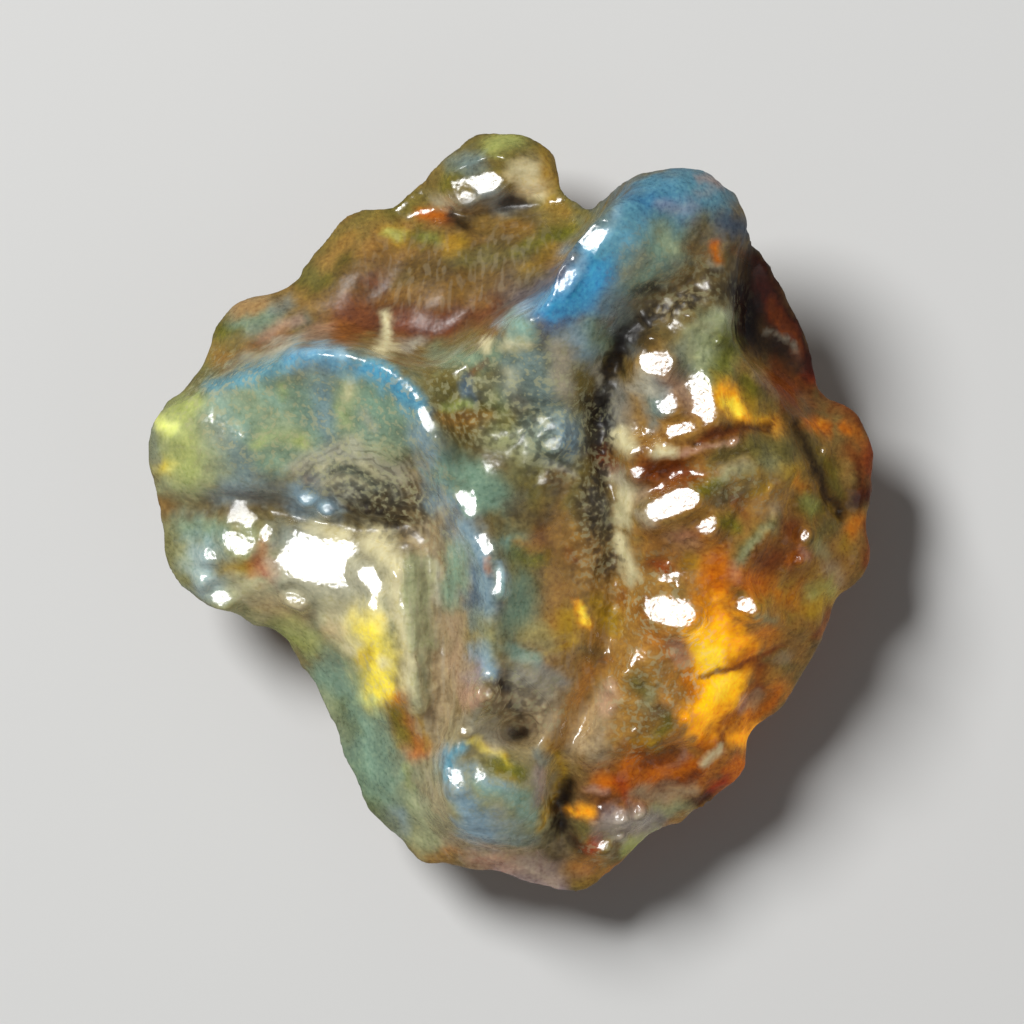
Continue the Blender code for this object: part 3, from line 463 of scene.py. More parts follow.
    ("cream", 80, 4, 2, 136, 11, 137), ("gold", 50, 4, 14, 144, 16, 132), ("cream", 95, 4.4, 7, 129, 11, 130),
    ("grey", 80, 4.8, -10, 127, -1, 123), ("dark", 85, 2.8, -26, 118, -17, 114),
    ("dark", 70, 2.4, 0, 123, 7, 123), ("rust", 80, 2.8, -35, 119, -26, 117),
    ("umber", 60, 3.2, 3, 119, 10, 116), ("ochre", 60, 3.6, 18, 123, 22, 120),
    ("bone", 50, 3.2, -29, 125, -25, 122), ("grey", 50, 3.6, -19, 124, -16, 122),
    # other corrections
    ("gold", 70, 4, 7, 99, 16, 104), ("teal", 60, 4.8, 31, 73, 35, 66),
    ("green", 80, 3.6, -46, -80, -43, -90), ("pink", 50, 3.2, 11, -143, 29, -144),
    ("rust", 50, 3.2, 71, 104, 75, 102),
    # bottom bulge, finer
    ("steel", 60, 4.8, -18, -116, -14, -127), ("sky", 90, 2.4, -26, -104, -24, -96, -20, -92),
    ("teal", 70, 2.4, -13, -108, -3, -112, 5, -114),
    ("yellow", 60, 1.4, -18, -91, -12, -93, -5, -96, -2, -100), ("green", 80, 3.2, -6, -101, 2, -103),
    ("lilac", 40, 2.4, 10, -102, 11, -115), ("slate", 60, 2.4, 10, -96, 14, -99),
    ("gold", 90, 2, 16, -92, 20, -98, 19, -108, 16, -118, 11, -124), ("bone", 50, 3.2, -6, -118, -5, -123),
    ("taupe", 70, 3.6, 19, -134, 22, -141), ("sage", 80, 5.6, -40, -116, -33, -130),
    ("steel", 50, 2.8, -46, -120, -44, -128), ("pink", 60, 3.2, -14, -138, 3, -141),
    ("pink", 50, 3.2, -18, -71, -12, -73),
    # middle, finer
    ("cream", 80, 2.4, -41, -63, -37, -76), ("sage", 60, 2.8, -33, -20, -33, -52),
    ("pink", 30, 2.8, -24, -44, -22, -68), ("gold", 60, 4.4, 6, -47, 18, -51),
    ("gold", 80, 3.6, 22, -40, 25, -52), ("teal", 80, 6, 1, -32, 3, -40), ("olive", 70, 3.2, -1, -21, 8, -20),
    ("bone", 60, 2, 1, -68, 6, -72, 3, -77), ("dark", 60, 1.2, -2, -76, 4, -79),
    ("slate", 70, 4, 0, 60, 8, 58), ("bone", 60, 2.8, 18, 66, 19, 46), ("denim", 70, 2.4, -18, 52, -15, 46),
    ("lime", 70, 2.4, -26, 42, -17, 44), ("umber", 70, 3.6, 2, 32, 7, 22), ("slate", 70, 3.6, 25, 37, 28, 28),
    ("steel", 80, 3.2, 22, 32, 24, 26), ("dark", 80, 2.8, 30, 44, 32, 32, 33, 24),
    ("umber", 80, 3.6, 18, 12, 14, -2), ("teal", 80, 4.8, -24, 20, -16, 13), ("teal", 90, 3.6, -14, 4, -7, 2),
    ("slate", 60, 3.2, -33, 14, -25, 8), ("umber", 60, 3.6, -3, 16, 4, 4),
    ("ochre", 60, 1.6, 2, -12, 10, -12), ("green", 70, 3.2, 1, -16, 12, -18),
    ("black", 80, 3.2, 42, 66, 44, 56), ("umber", 70, 3.2, 32, 4, 34, -12, 35, -20),
    ("bone", 60, 2, 34, 57, 36, 52), ("ochre", 80, 4.8, 20, -8, 32, -15),
    # left face, finer
    ("lime", 40, 5.6, -133, 42, -129, 28, -131, 14), ("pale teal", 60, 4.8, -116, 41, -109, 34),
    ("pale teal", 60, 4, -100, 48, -93, 44), ("sky", 60, 3.2, -107, 52, -97, 54),
    ("steel", 50, 4.4, -86, 60, -73, 58), ("lime", 50, 2, -69, 41, -66, 34),
    ("lime", 60, 1.6, -101, 28, -99, 28), ("lime", 60, 1.6, -86, 29, -83, 27),
    ("lime", 60, 1.6, -92, 50, -90, 46), ("cream", 50, 1.6, -64, 51, -66, 45),
    ("bone", 60, 2, -58, 39, -54, 34), ("sage", 70, 3.2, -64, 28, -56, 24, -49, 22),
    ("sky", 80, 3.2, -58, 56, -51, 56, -46, 51), ("teal", 70, 4.8, -56, 46, -50, 39),
    ("slate", 60, 4, -110, 28, -107, 18), ("pink", 50, 2.4, -100, 70, -86, 76),
    ("rust", 60, 3.2, -81, 70, -67, 70, -58, 74), ("ochre", 60, 2.8, -110, 82, -100, 84),
    ("olive", 70, 3.6, -112, 66, -108, 70),
    # back and far lobe, finer
    ("ochre", 80, 3.6, -77, 100, -67, 110, -54, 119), ("gold", 70, 2.8, -74, 104, -65, 111),
    ("green", 80, 3.6, -78, 93, -66, 101), ("ochre", 80, 3.6, -56, 104, -48, 99),
    ("lime", 60, 2, -49, 112, -44, 111), ("lime", 60, 2, -35, 109, -28, 108),
    ("golden", 70, 2.4, -26, 108, -22, 106), ("umber", 60, 4, -35, 100, -25, 98),
    ("olive", 60, 3.6, -18, 100, -13, 96), ("rust", 80, 4, -59, 88, -47, 86),
    ("rust", 80, 4.8, -43, 77, -28, 76), ("orange", 60, 4.8, -65, 84, -69, 78),
    ("ochre", 80, 4.8, -25, 89, -14, 84), ("bone", 80, 1.6, -43, 65, -35, 69),
    ("olive", 60, 3.2, -5, 100, 3, 104, 13, 108), ("green", 60, 3.6, 13, 111, 22, 113),
    ("olive", 70, 4.8, -14, 144, 3, 148), ("lime", 50, 3.6, -9, 146, 0, 148),
    ("slate", 60, 3.6, -21, 138, -14, 141), ("dark", 90, 2.4, -25, 119, -19, 116),
    ("ochre", 80, 2.4, -2, 113, 5, 114), ("umber", 70, 3.6, -11, 104, -4, 108),
    # horn and flank, finer
    ("azure", 90, 6, 15, 82, 27, 84, 31, 92, 34, 100), ("sky", 80, 4.4, 35, 104, 40, 110, 48, 119),
    ("sky", 60, 5.6, 55, 128, 71, 129, 83, 124), ("lilac", 30, 3.2, 61, 121, 69, 120),
    ("umber", 80, 3.2, 76, 111, 73, 102), ("umber", 70, 3.6, 59, 84, 71, 90, 82, 91),
    ("dark", 80, 2.4, 50, 87, 56, 89), ("dark", 60, 2, 77, 94, 81, 96),
    # The black stroke and the deep red line along the flank are painted shade on the steep side beyond the
    # crest, over the resin's own deep red
    ("black", 95, 4.8, 91, 88, 94, 80, 92, 72),
    ("deep red", 90, 2.8, 98, 100, 102, 88, 109, 76, 118, 64, 122, 56),
    ("rust", 60, 2, 104, 84, 108, 76, 115, 65), ("umber", 60, 4, 46, 94, 51, 100),
    ("sage", 80, 3.6, 78, 77, 84, 76, 82, 68), ("sage", 60, 3.2, 75, 64, 78, 57),
    # back, darker places
    ("brown", 70, 16, -65, 90, -33, 92, -1, 100), ("olive", 70, 5.2, -82, 96, -71, 108, -56, 120),
    ("ochre", 60, 3.6, -74, 100, -65, 109), ("gold", 60, 3.2, -50, 112, -45, 110),
    ("lime", 50, 2, -50, 112, -46, 111), ("green", 60, 3.2, -38, 110, -30, 108),
    ("gold", 80, 3.2, -26, 107, -20, 107), ("orange", 70, 2.8, -36, 120, -30, 119),
    ("maroon", 70, 6, -67, 80, -45, 74, -29, 74, -8, 80), ("ochre", 55, 4.4, -44, 88, -29, 86),
    ("maroon", 60, 2.8, -58, 93, -51, 90), ("olive", 70, 3.6, -22, 100, -8, 102),
    ("green", 60, 2.8, 0, 104, 13, 108, 21, 111), ("brown", 60, 3.2, -45, 99, -27, 97),
    ("cream", 90, 2, -51, 79, -50, 66),
    # far lobe, paler end
    ("cream", 90, 3.6, 6, 132, 11, 129), ("gold", 60, 2.8, 14, 137, 15, 126),
    ("green", 60, 3.2, -26, 130, -22, 136), ("slate", 60, 3.2, -19, 139, -14, 140),
    ("black", 70, 2, -2, 124, 5, 123),
    # saddle, greyer places
    ("slate", 70, 9.6, 1, 50, 13, 44), ("sage", 50, 7.2, -5, 29, 7, 24), ("taupe", 50, 4.8, 20, 64, 20, 48),
    ("slate", 60, 5.6, 7, 32, 18, 22), ("teal", 70, 6.4, -26, 17, -14, 12, -5, 8),
    ("olive", 50, 5.6, 3, 16, 10, 8), ("ochre", 60, 2.8, -24, 38, -10, 38),
    # amber face, upper part
    ("sage", 80, 6.8, 71, 68, 78, 64, 75, 55), ("green", 90, 4.8, 84, 68, 86, 64, 82, 56),
    ("slate", 50, 4, 66, 64, 69, 56), ("gold", 80, 4.4, 82, 51, 83, 46),
    ("golden", 90, 4, 85, 48, 88, 41, 93, 36), ("yellow", 90, 2.4, 86, 43, 89, 39),
    ("gold", 85, 4, 94, 44, 99, 37), ("golden", 60, 2.8, 100, 35, 106, 34),
    ("green", 80, 3.6, 92, 52, 96, 48), ("taupe", 50, 2.4, 98, 54, 102, 51, 104, 46),
    ("olive", 60, 3.2, 101, 46, 104, 41), ("rust", 80, 5.2, 106, 51, 115, 45, 110, 40),
    ("deep red", 85, 2, 71, 28, 84, 32, 102, 34), ("rust", 60, 2.8, 75, 30, 93, 31),
    # The pink line from 67,24 to 88,28 is painted sheen of the small highlights on the bead ridge
    ("pink", 60, 1.4, 67, 24, 80, 26, 88, 28), ("grey", 60, 3.6, 57, 51, 59, 41),
    ("slate", 60, 3.2, 54, 44, 56, 34), ("umber", 60, 3.6, 66, 56, 69, 52), ("bone", 80, 3.2, 51, 51, 55, 48),
    # amber face, middle
    ("rust", 90, 4.8, 55, 16, 69, 16), ("deep red", 50, 3.2, 56, 17, 71, 19),
    ("ochre", 60, 4, 74, 20, 80, 17), ("olive", 80, 4.4, 81, 19, 90, 21), ("sage", 80, 2.8, 86, 16, 92, 19),
    ("sage", 60, 2, 82, 12, 86, 13), ("green", 80, 3.6, 76, 9, 82, 10), ("olive", 70, 5.2, 96, 26, 110, 24),
    ("sage", 40, 3.6, 101, 20, 106, 18), ("gold", 70, 3.6, 109, 16, 114, 15),
    ("amber", 60, 2.8, 114, 12, 118, 9), ("green", 80, 4.8, 118, 4, 122, 1),
    ("lime", 40, 2.8, 117, 6, 120, 2), ("umber", 90, 2.8, 80, 4, 87, 7, 94, 10),
    ("rust", 70, 2.8, 90, 4, 93, -1), ("ochre", 70, 3.2, 94, 2, 99, 5), ("taupe", 70, 2.8, 104, 2, 103, -4),
    ("gold", 60, 2, 96, 8, 100, 10), ("green", 80, 3.2, 84, -3, 88, -7), ("umber", 80, 3.2, 82, -10, 76, -8),
    ("ochre", 70, 3.6, 56, -14, 66, -14), ("rust", 70, 3.2, 67, -9, 74, -10),
    ("rust", 80, 3.2, 55, -20, 61, -22), ("gold", 80, 2.8, 70, -20, 74, -22),
    ("olive", 90, 2.8, 77, -25, 76, -35), ("orange", 90, 4.8, 82, -18, 82, -28),
    ("olive", 80, 2.8, 88, -20, 93, -14, 98, -8, 104, -3), ("sage", 60, 1.6, 90, -19, 95, -13, 102, -5),
    ("pink", 50, 2, 88, -22, 90, -28), ("orange", 85, 4.8, 93, -26, 100, -28),
    ("rust", 80, 4, 102, -20, 108, -14, 111, -8), ("amber", 60, 2.8, 100, -31, 106, -32),
    # The pink dot at 115,-15 is a painted highlight between two glinting facets
    ("orange", 80, 2.8, 111, -20, 116, -16), ("pink", 60, 1.6, 115, -15, 117, -18),
    ("olive", 80, 3.6, 120, -12, 125, -8, 129, -4), ("sage", 40, 2.8, 122, -14, 126, -17),
    # side lobe
    ("olive", 80, 4, 118, 27, 122, 22, 124, 16), ("green", 80, 3.6, 126, 18, 130, 8),
    ("umber", 70, 3.2, 117, 45, 118, 40), ("brown", 85, 4, 110, 38, 118, 24, 125, 9, 132, 0),
    ("dark", 70, 1.8, 113, 35, 120, 20, 126, 6, 132, -1), ("orange", 90, 3.2, 120, 35, 125, 34),
    ("golden", 40, 1.6, 123, 36), ("rust", 85, 4.8, 130, 44, 136, 40, 140, 35),
    ("orange", 90, 2.4, 133, 34, 135, 32), ("amber", 50, 2.8, 138, 31, 140, 28),
    ("rust", 80, 3.6, 135, 25, 139, 20), ("deep red", 80, 3.2, 138, 18, 140, 10),
    ("red", 80, 2.4, 143, 26, 144, 16), ("deep red", 95, 3.6, 139, 4, 143, 8),
    ("amber", 85, 3.6, 139, -4, 136, -8), ("gold", 60, 3.2, 133, -12, 135, -15),
    ("rust", 90, 2.4, 143, -7, 143, -20), ("taupe", 70, 3.2, 127, -23, 132, -27),
    ("ochre", 80, 3.2, 134, -20, 135, -31), ("umber", 50, 2.8, 137, -28, 134, -34),
    # painted glow: strokes that paint the light passing through the lower amber face, brightest at its yellow
    # core
    ("orange", 95, 6, 81, -24, 81, -40), ("amber", 95, 13.6, 82, -52, 80, -76),
    ("amber", 80, 6.4, 95, -46, 102, -48), ("golden", 90, 4.8, 80, -37, 82, -44),
    ("golden", 100, 10.4, 82, -50, 78, -77), ("flame", 100, 7.2, 78, -52, 85, -69),
    ("flame", 80, 4.8, 78, -72, 75, -81), ("yellow", 50, 3.2, 75, -56, 81, -59),
    ("yellow", 40, 2.4, 86, -68, 82, -72), ("golden", 90, 3.6, 90, -49, 95, -53),
    ("amber", 90, 3.6, 94, -56, 90, -61), ("amber", 90, 3.2, 70, -64, 70, -72),
    ("golden", 90, 3.6, 71, -82, 76, -89), ("ochre", 70, 3.2, 66, -71, 67, -77),
    ("orange", 80, 3.2, 73, -96, 77, -92),
    # painted glow, its fractures and outer side
    ("rust", 80, 1.4, 108, -54, 96, -58, 89, -63, 76, -65), ("rust", 80, 3.2, 98, -62, 101, -68, 95, -71),
    ("rust", 70, 1.6, 99, -71, 92, -77, 85, -84, 82, -92), ("olive", 70, 3.2, 104, -66, 109, -60),
    ("taupe", 60, 2, 107, -60, 111, -58), ("ochre", 90, 3.6, 111, -52, 116, -56),
    ("orange", 90, 3.2, 106, -72, 102, -77), ("pink", 60, 2, 93, -74, 92, -78),
    ("taupe", 70, 2, 97, -72, 96, -79), ("amber", 95, 4.4, 99, -81, 91, -88),
    ("golden", 95, 4.4, 90, -91, 98, -90), ("orange", 95, 3.2, 94, -99, 87, -103),
    ("orange", 90, 2.4, 92, -104, 87, -107), ("red", 90, 2.8, 85, -108, 80, -111),
    ("deep red", 90, 2.8, 78, -114, 74, -116), ("cream", 80, 1.4, 76, -101, 79, -96, 82, -93),
    ("ochre", 70, 2.8, 95, -44, 103, -40), ("ochre", 60, 2, 97, -40, 103, -44, 110, -47),
    ("sage", 40, 1.4, 98, -41, 104, -44), ("amber", 50, 3.2, 111, -35, 115, -31),
    ("lime", 50, 3.2, 120, -32, 126, -31), ("gold", 80, 3.6, 124, -36, 121, -40),
    ("ochre", 80, 3.2, 114, -44, 120, -46), ("rust", 80, 2.4, 128, -40, 122, -49),
    ("dark", 40, 2, 122, -52, 123, -55), ("orange", 60, 2.8, 96, -32, 93, -29),
    # lower amber face
    ("ochre", 80, 4.8, 50, -58, 55, -52), ("orange", 50, 4.8, 57, -50, 62, -54),
    ("pink", 50, 3.2, 64, -52, 67, -58), ("rust", 50, 3.2, 51, -37, 52, -42),
    ("olive", 85, 4, 50, -68, 54, -72), ("sage", 35, 2.4, 56, -74, 52, -77),
    ("umber", 80, 2.8, 58, -79, 62, -81), ("green", 70, 3.2, 58, -87, 62, -84),
    ("gold", 80, 3.2, 57, -92, 51, -93), ("ochre", 70, 3.2, 46, -63, 44, -69),
    ("taupe", 80, 4.8, 37, -72, 34, -84, 34, -92), ("taupe", 80, 4.8, 25, -92, 35, -96),
    ("pink", 50, 3.2, 39, -71, 37, -78), ("gold", 90, 4, 33, -36, 40, -43),
    ("gold", 70, 2.8, 38, -40, 40, -47), ("golden", 80, 2, 26, -36, 29, -43),
    ("yellow", 80, 1.4, 28, -39, 29, -42), ("umber", 90, 2.8, 29, -56, 35, -58),
    ("rust", 60, 2.4, 35, -62, 38, -58), ("ochre", 90, 3.6, 33, -61, 27, -72, 22, -81, 18, -92),
    ("amber", 35, 2.4, 31, -63, 25, -76),
    # lower amber face, bands
    ("orange", 90, 3.6, 46, -101, 51, -96), ("deep red", 60, 2.8, 51, -96, 61, -94, 67, -95),
    ("rust", 80, 3.2, 54, -101, 61, -99), ("pink", 50, 1.8, 61, -104, 66, -100, 69, -96),
    ("orange", 90, 2.8, 56, -105, 64, -103, 71, -101), ("rust", 90, 2.4, 59, -110, 67, -108, 74, -105),
    ("ochre", 70, 2.4, 71, -92, 74, -96), ("orange", 90, 4, 35, -106, 42, -108),
    ("red", 60, 2.8, 42, -106, 46, -113), ("pink", 50, 2, 32, -111, 36, -112),
    ("deep red", 60, 2.4, 36, -116, 38, -118), ("black", 95, 3.6, 23, -108, 20, -116, 19, -126),
    ("golden", 80, 2.8, 25, -119, 31, -120), ("olive", 80, 2.8, 27, -126, 30, -126),
    ("deep red", 80, 3.2, 26, -131, 29, -136), ("red", 85, 2.8, 32, -135, 34, -130),
    ("deep red", 50, 3.2, 35, -126, 37, -128), ("umber", 70, 6.4, 16, -136, 19, -140),
    # lowest edge
    ("taupe", 80, 3.2, 51, -112, 61, -113, 72, -111), ("sage", 80, 3.6, 58, -119, 69, -119),
    ("grey", 50, 2.8, 53, -124, 61, -124), ("lime", 80, 2.8, 46, -135, 52, -131, 58, -128),
    ("bone", 60, 2.4, 42, -129, 44, -132), ("orange", 70, 2, 51, -138, 38, -146),
    # The lilac stroke at 40,-122 to 46,-125 is painted glare round the highlights above the lowest edge
    ("ochre", 80, 2, 62, -126, 77, -118), ("lilac", 30, 3.2, 40, -122, 46, -125),
    # trough and spine, last corrections
    ("sage", 50, 3.6, -38, -20, -35, -52, -37, -76), ("taupe", 50, 3.2, -26, -36, -26, -68, -29, -92),
    ("teal", 70, 3.6, -22, -18, -24, -36), ("denim", 60, 2.4, -15, -22, -14, -36, -13, -46),
    ("steel", 60, 2.4, -10, -52, -9, -63), ("amber", 50, 1.4, -10, -18, -10, -22),
    ("pale teal", 60, 2.4, 0, -55, 10, -58), ("taupe", 50, 4.8, 5, -72, 13, -77),
    # left face, last corrections
    ("teal", 45, 10.4, -109, 40, -85, 44), ("slate", 40, 7.2, -73, 36, -65, 28),
    ("sky", 50, 3.2, -119, 50, -105, 53, -89, 60), ("teal", 50, 4.8, -67, -92, -59, -110),
    ("green", 40, 3.2, -69, -76, -64, -88),
    # last evening of the tones
    # The lilac and bone strokes here are painted glare round the highlights of the lowest amber face
    ("lilac", 40, 5.6, 40, -124, 55, -126), ("bone", 35, 4.8, 38, -127, 51, -123),
    ("slate", 45, 6.4, -74, 14, -60, 11), ("steel", 35, 6, -110, 9, -83, 8),
    ("steel", 30, 4.8, -91, -9, -81, -12), ("bone", 40, 5.2, -14, -84, -5, -91),
    ("bone", 40, 5.2, 5, -66, 14, -69), ("steel", 35, 7.2, -14, -123, -4, -126),
    ("pink", 45, 6, 3, -143, 15, -146), ("lilac", 30, 4, 7, -141, 18, -144),
    ("ochre", 50, 5.2, 25, -143, 34, -143), ("green", 45, 7.2, 24, 126, 31, 120),
    ("denim", 30, 4.8, 26, 128, 32, 124), ("deep red", 35, 6, 145, 35, 146, 4),
    ("rust", 35, 4.8, 142, 28, 144, 12), ("cream", 35, 5.6, -110, -28, -100, -31),
    ("lime", 40, 5.6, -91, -47, -82, -52), ("cream", 35, 4.4, -70, -46, -65, -52),
    ("dark", 35, 5.2, 83, 88, 90, 84), ("umber", 35, 4, 64, 69, 71, 64), ("sage", 40, 5.2, 6, -46, 14, -52),
    ("olive", 35, 7.2, -52, -123, -44, -128), ("slate", 35, 4, -50, 11, -46, 6),
    ("slate", 30, 4.8, -31, 31, -26, 26), ("bone", 30, 4, 46, 12, 50, 7),
    # amber face, redder places
    ("rust", 45, 5.2, 55, -9, 68, -20), ("red", 35, 2.8, 59, -19, 62, -22),
    ("rust", 40, 4.8, 110, -8, 115, -28), ("orange", 35, 3.6, 106, -36, 115, -37),
    ("red", 30, 3.2, 82, 16, 92, 20), ("amber", 35, 5.6, 75, -36, 80, -12),
    ("rust", 35, 4.4, 97, -72, 107, -82), ("umber", 35, 6, -109, 66, -102, 68),
    ("green", 35, 6, -51, 124, -44, 125), ("green", 30, 5.6, -145, 32, -143, 24),
    ("green", 30, 5.2, -70, -84, -66, -91), ("denim", 20, 5.2, -69, -85, -65, -92),
    ("pink", 25, 4, 64, -8, 70, -12), ("amber", 50, 4.4, 103, -65, 109, -70),
    ("ochre", 35, 4, 103, -8, 108, -12), ("cream", 40, 4.4, -70, -45, -64, -52),
    ("bone", 30, 4.8, -73, 13, -64, 8),
    # wet hollow, its left end
    ("gold", 60, 3.2, -114, -23, -107, -22), ("red", 60, 2.4, -102, -18, -100, -25),
    ("orange", 50, 2, -105, -20, -104, -25), ("olive", 40, 2.8, -118, -18, -117, -24),
    # ledge, its pale and dark lines
    ("bone", 50, 2, -70, 26, -65, 28, -59, 24), ("cream", 50, 1.2, -77, 17, -69, 21, -60, 19, -52, 14),
    ("cream", 45, 1.2, -74, 12, -66, 14, -57, 11), ("dark", 50, 1.2, -73, 15, -65, 18, -56, 15, -47, 8),
    ("black", 50, 1.6, -64, 4, -54, 1, -45, -4), ("black", 45, 1.2, -62, 8, -53, 7, -44, 2),
    ("azure", 50, 3.6, -86, 62, -76, 62, -63, 56, -53, 54, -42, 46, -35, 39),
    ("sage", 40, 4.8, -13, -43, -6, -54), ("bone", 35, 4.8, -14, -84, -5, -91),
    ("bone", 30, 4.8, 6, -66, 14, -70), ("pale blue", 25, 6, -15, -123, -5, -127),
    # The bone stroke at 41,-123 to 55,-127 is painted glare round the lowest highlights
    ("bone", 30, 5.2, 41, -123, 55, -127), ("bone", 30, 5.2, 3, -143, 16, -146),
    ("ochre", 40, 4.8, 25, -142, 34, -144), ("orange", 30, 3.2, 26, -140, 32, -143),
    # The lilac stroke at 63,51 to 71,44 is painted glare round the highlight cluster on the amber face
    ("lilac", 25, 5.6, 63, 51, 71, 44), ("lime", 30, 4.8, -90, -46, -82, -52),
]
GROUND = (130, 112, 62)  # under all the strokes
UNDERSIDE = (112, 84, 44)
# Where the crust, pale flecks, drawn-out streaks and a dull skin lie, in millimetres, as for CRUMBLY
CRUST = [
    (0.9, 0.48, (7.12, 8.44), (5.6, 7.8), (4.4, 6.84), (3.84, 5.64), (3.52, 4.44), (3.68, 2.84),
        (3.44, 1.24), (3.2, -0.44)),
    (0.8, 0.8, (3.12, 0.68), (3.52, -0.76), (3.76, -2.04)),
    (0.7, 1.04, (-6.48, 0.44), (-5.28, 0.04), (-4.16, -0.36)),
    (0.55, 1.6, (-1.68, 3.64), (0.32, 3.24), (1.92, 2.04)),
    (0.4, 0.96, (5.92, 8.04), (7.52, 8.84), (8.72, 9.24)), (0.5, 0.88, (-0.28, -7.16), (0.72, -8.04)),
    (0.2, 0.64, (-3.28, 0.44), (-3.12, -3.56), (-3.2, -8.36)), (0.5, 0.56, (-0.48, 0.04), (0.72, -0.36)),
    (0.6, 0.8, (1.92, -11.56), (1.76, -13.16)), (0.4, 0.56, (-1.68, 12.04), (0.72, 12.28)),
    (0.35, 0.64, (-14.08, 0.2), (-8.48, 0.24)), (0.4, 0.96, (2.32, -1.16), (3.52, -3.56)),
]
FLECKED = [
    (0.9, 2.4, (-11.28, 4.04), (-8.48, 3.64), (-5.08, 3.44)),
    (0.9, 1.12, (-7.68, 1.64), (-5.28, 1.24), (-4.28, 0.44)),
    (0.9, 2, (-1.68, 4.44), (0.72, 5.24), (1.92, 3.24)), (0.7, 1.2, (3.52, 1.24), (3.36, -1.96)),
    (0.7, 1.8, (5.52, -3.56), (6.72, -5.56), (5.12, -7.56)), (0.5, 1.6, (5.52, 9.64), (7.52, 8.44)),
    (0.9, 1.2, (-0.48, -7.16), (1.12, -7.56)), (0.6, 1.4, (-1.28, -10.76), (0.32, -11.56)),
    (0.5, 1.2, (-6.48, -5.16), (-5.28, -6.76)), (0.5, 0.8, (3.92, -7.56), (4.72, -9.16)),
    (0.6, 0.96, (-2.88, 1.24), (-2.88, -1.96)), (0.5, 0.8, (7.52, 1.24), (9.92, 0.84)),
    (0.5, 0.8, (3.52, -13.56), (5.12, -12.76)),
]
STREAKED = [
    (0.8, 0.96, (-3.28, 1.64), (-3.28, -1.96), (-3.12, -5.96), (-3.04, -10.76)),
    (0.7, 0.8, (-4, -1.96), (-3.92, -5.16)), (0.5, 1.6, (-4.48, 9.64), (-1.68, 9.24), (0.32, 10.44)),
    (0.5, 0.96, (3.12, -5.16), (2.12, -8.36)), (0.6, 0.96, (-2.48, -13.16), (1.12, -14.04)),
    (0.5, 0.8, (-0.48, -7.16), (1.12, -7.56)),
]
DULL = [
    (0.9, 0.88, (10.24, 8.84), (11.36, 6.44)), (0.8, 2, (-6.88, 8.84), (-3.68, 8.84), (-0.48, 10.04)),
    (0.6, 0.8, (-8.08, 7.24), (-10.48, 6.84)),
]
LEDGE_BANDS = [(-8.48, 1), (-7.76, 1.72), (-6.68, 2.24), (-5.48, 2.2), (-4.56, 1.64), (-4.08, 0.76)]


def linear(srgb):
    share = np.array(srgb) / 255
    return np.where(share <= 0.04045, share / 12.92, ((share + 0.055) / 1.055) ** 2.4)


def paint(name, values):
    """Keeps these values on the skin's points for the material to read."""
    if values.ndim == 1:
        skin.attributes.new(name, "FLOAT", "POINT").data.foreach_set("value", values)
    else:
        skin.attributes.new(name, "FLOAT_VECTOR", "POINT").data.foreach_set("vector", values.ravel())


places = skin_values("co") / MM
facing = skin_values("normal")
x, y, z = places.T
upward = smooth_step(facing[:, 2], -0.4, 0.05)
wander_x = 0.22 * swells(places, 1.0, 4)
wander_y = 0.22 * swells(places, 1.0, 4, 30)
ragged = 1 + 0.3 * swells(places, 0.5, 2, 90)
tint = np.tile(linear(GROUND), (len(places), 1))
# Painted light: how much each point glows from inside, laid on with the strokes
painted_glow = np.zeros(len(places))
for colour, strength, radius, *line in STROKES:
    points = list(zip(line[::2], line[1::2]))
    gap = distance_to(points, (x + wander_x) * 10, (y + wander_y) * 10) / radius * ragged
    cover = strength / 100 * (1 - smooth_step(gap, 0.0, 1.8))
    tint += (linear(PALETTE[colour]) - tint) * cover[:, None]
    painted_glow += (PAINTED_GLOW.get(colour, 0) - painted_glow) * cover
tint *= np.exp(0.3 * swells(places, 0.8, 5, 60))[:, None]
tint += (linear(UNDERSIDE) - tint) * ((1 - upward) * 0.75)[:, None]
paint("tint", tint)
paint("painted_glow", painted_glow * upward)
paint("crust", cover_of(CRUST, x, y) * upward + (1 - upward) * 0.35)
paint("flecks", cover_of(FLECKED, x, y) * upward)
paint("matte", np.maximum(1 - upward, cover_of(DULL, x, y)))
paint("beads", cover_of(BEADED, x, y) * upward)
paint("streaks", cover_of(STREAKED, x, y) * upward)
paint("band_gap", distance_to(LEDGE_BANDS, x + wander_x * 0.4, y + wander_y * 0.4))
banded = cover_of([(0.55, 0.9, *LEDGE_BANDS[1:-1]), (1.0, 0.6, *LEDGE_BANDS[3:])], x, y)
paint("banded", banded * upward)


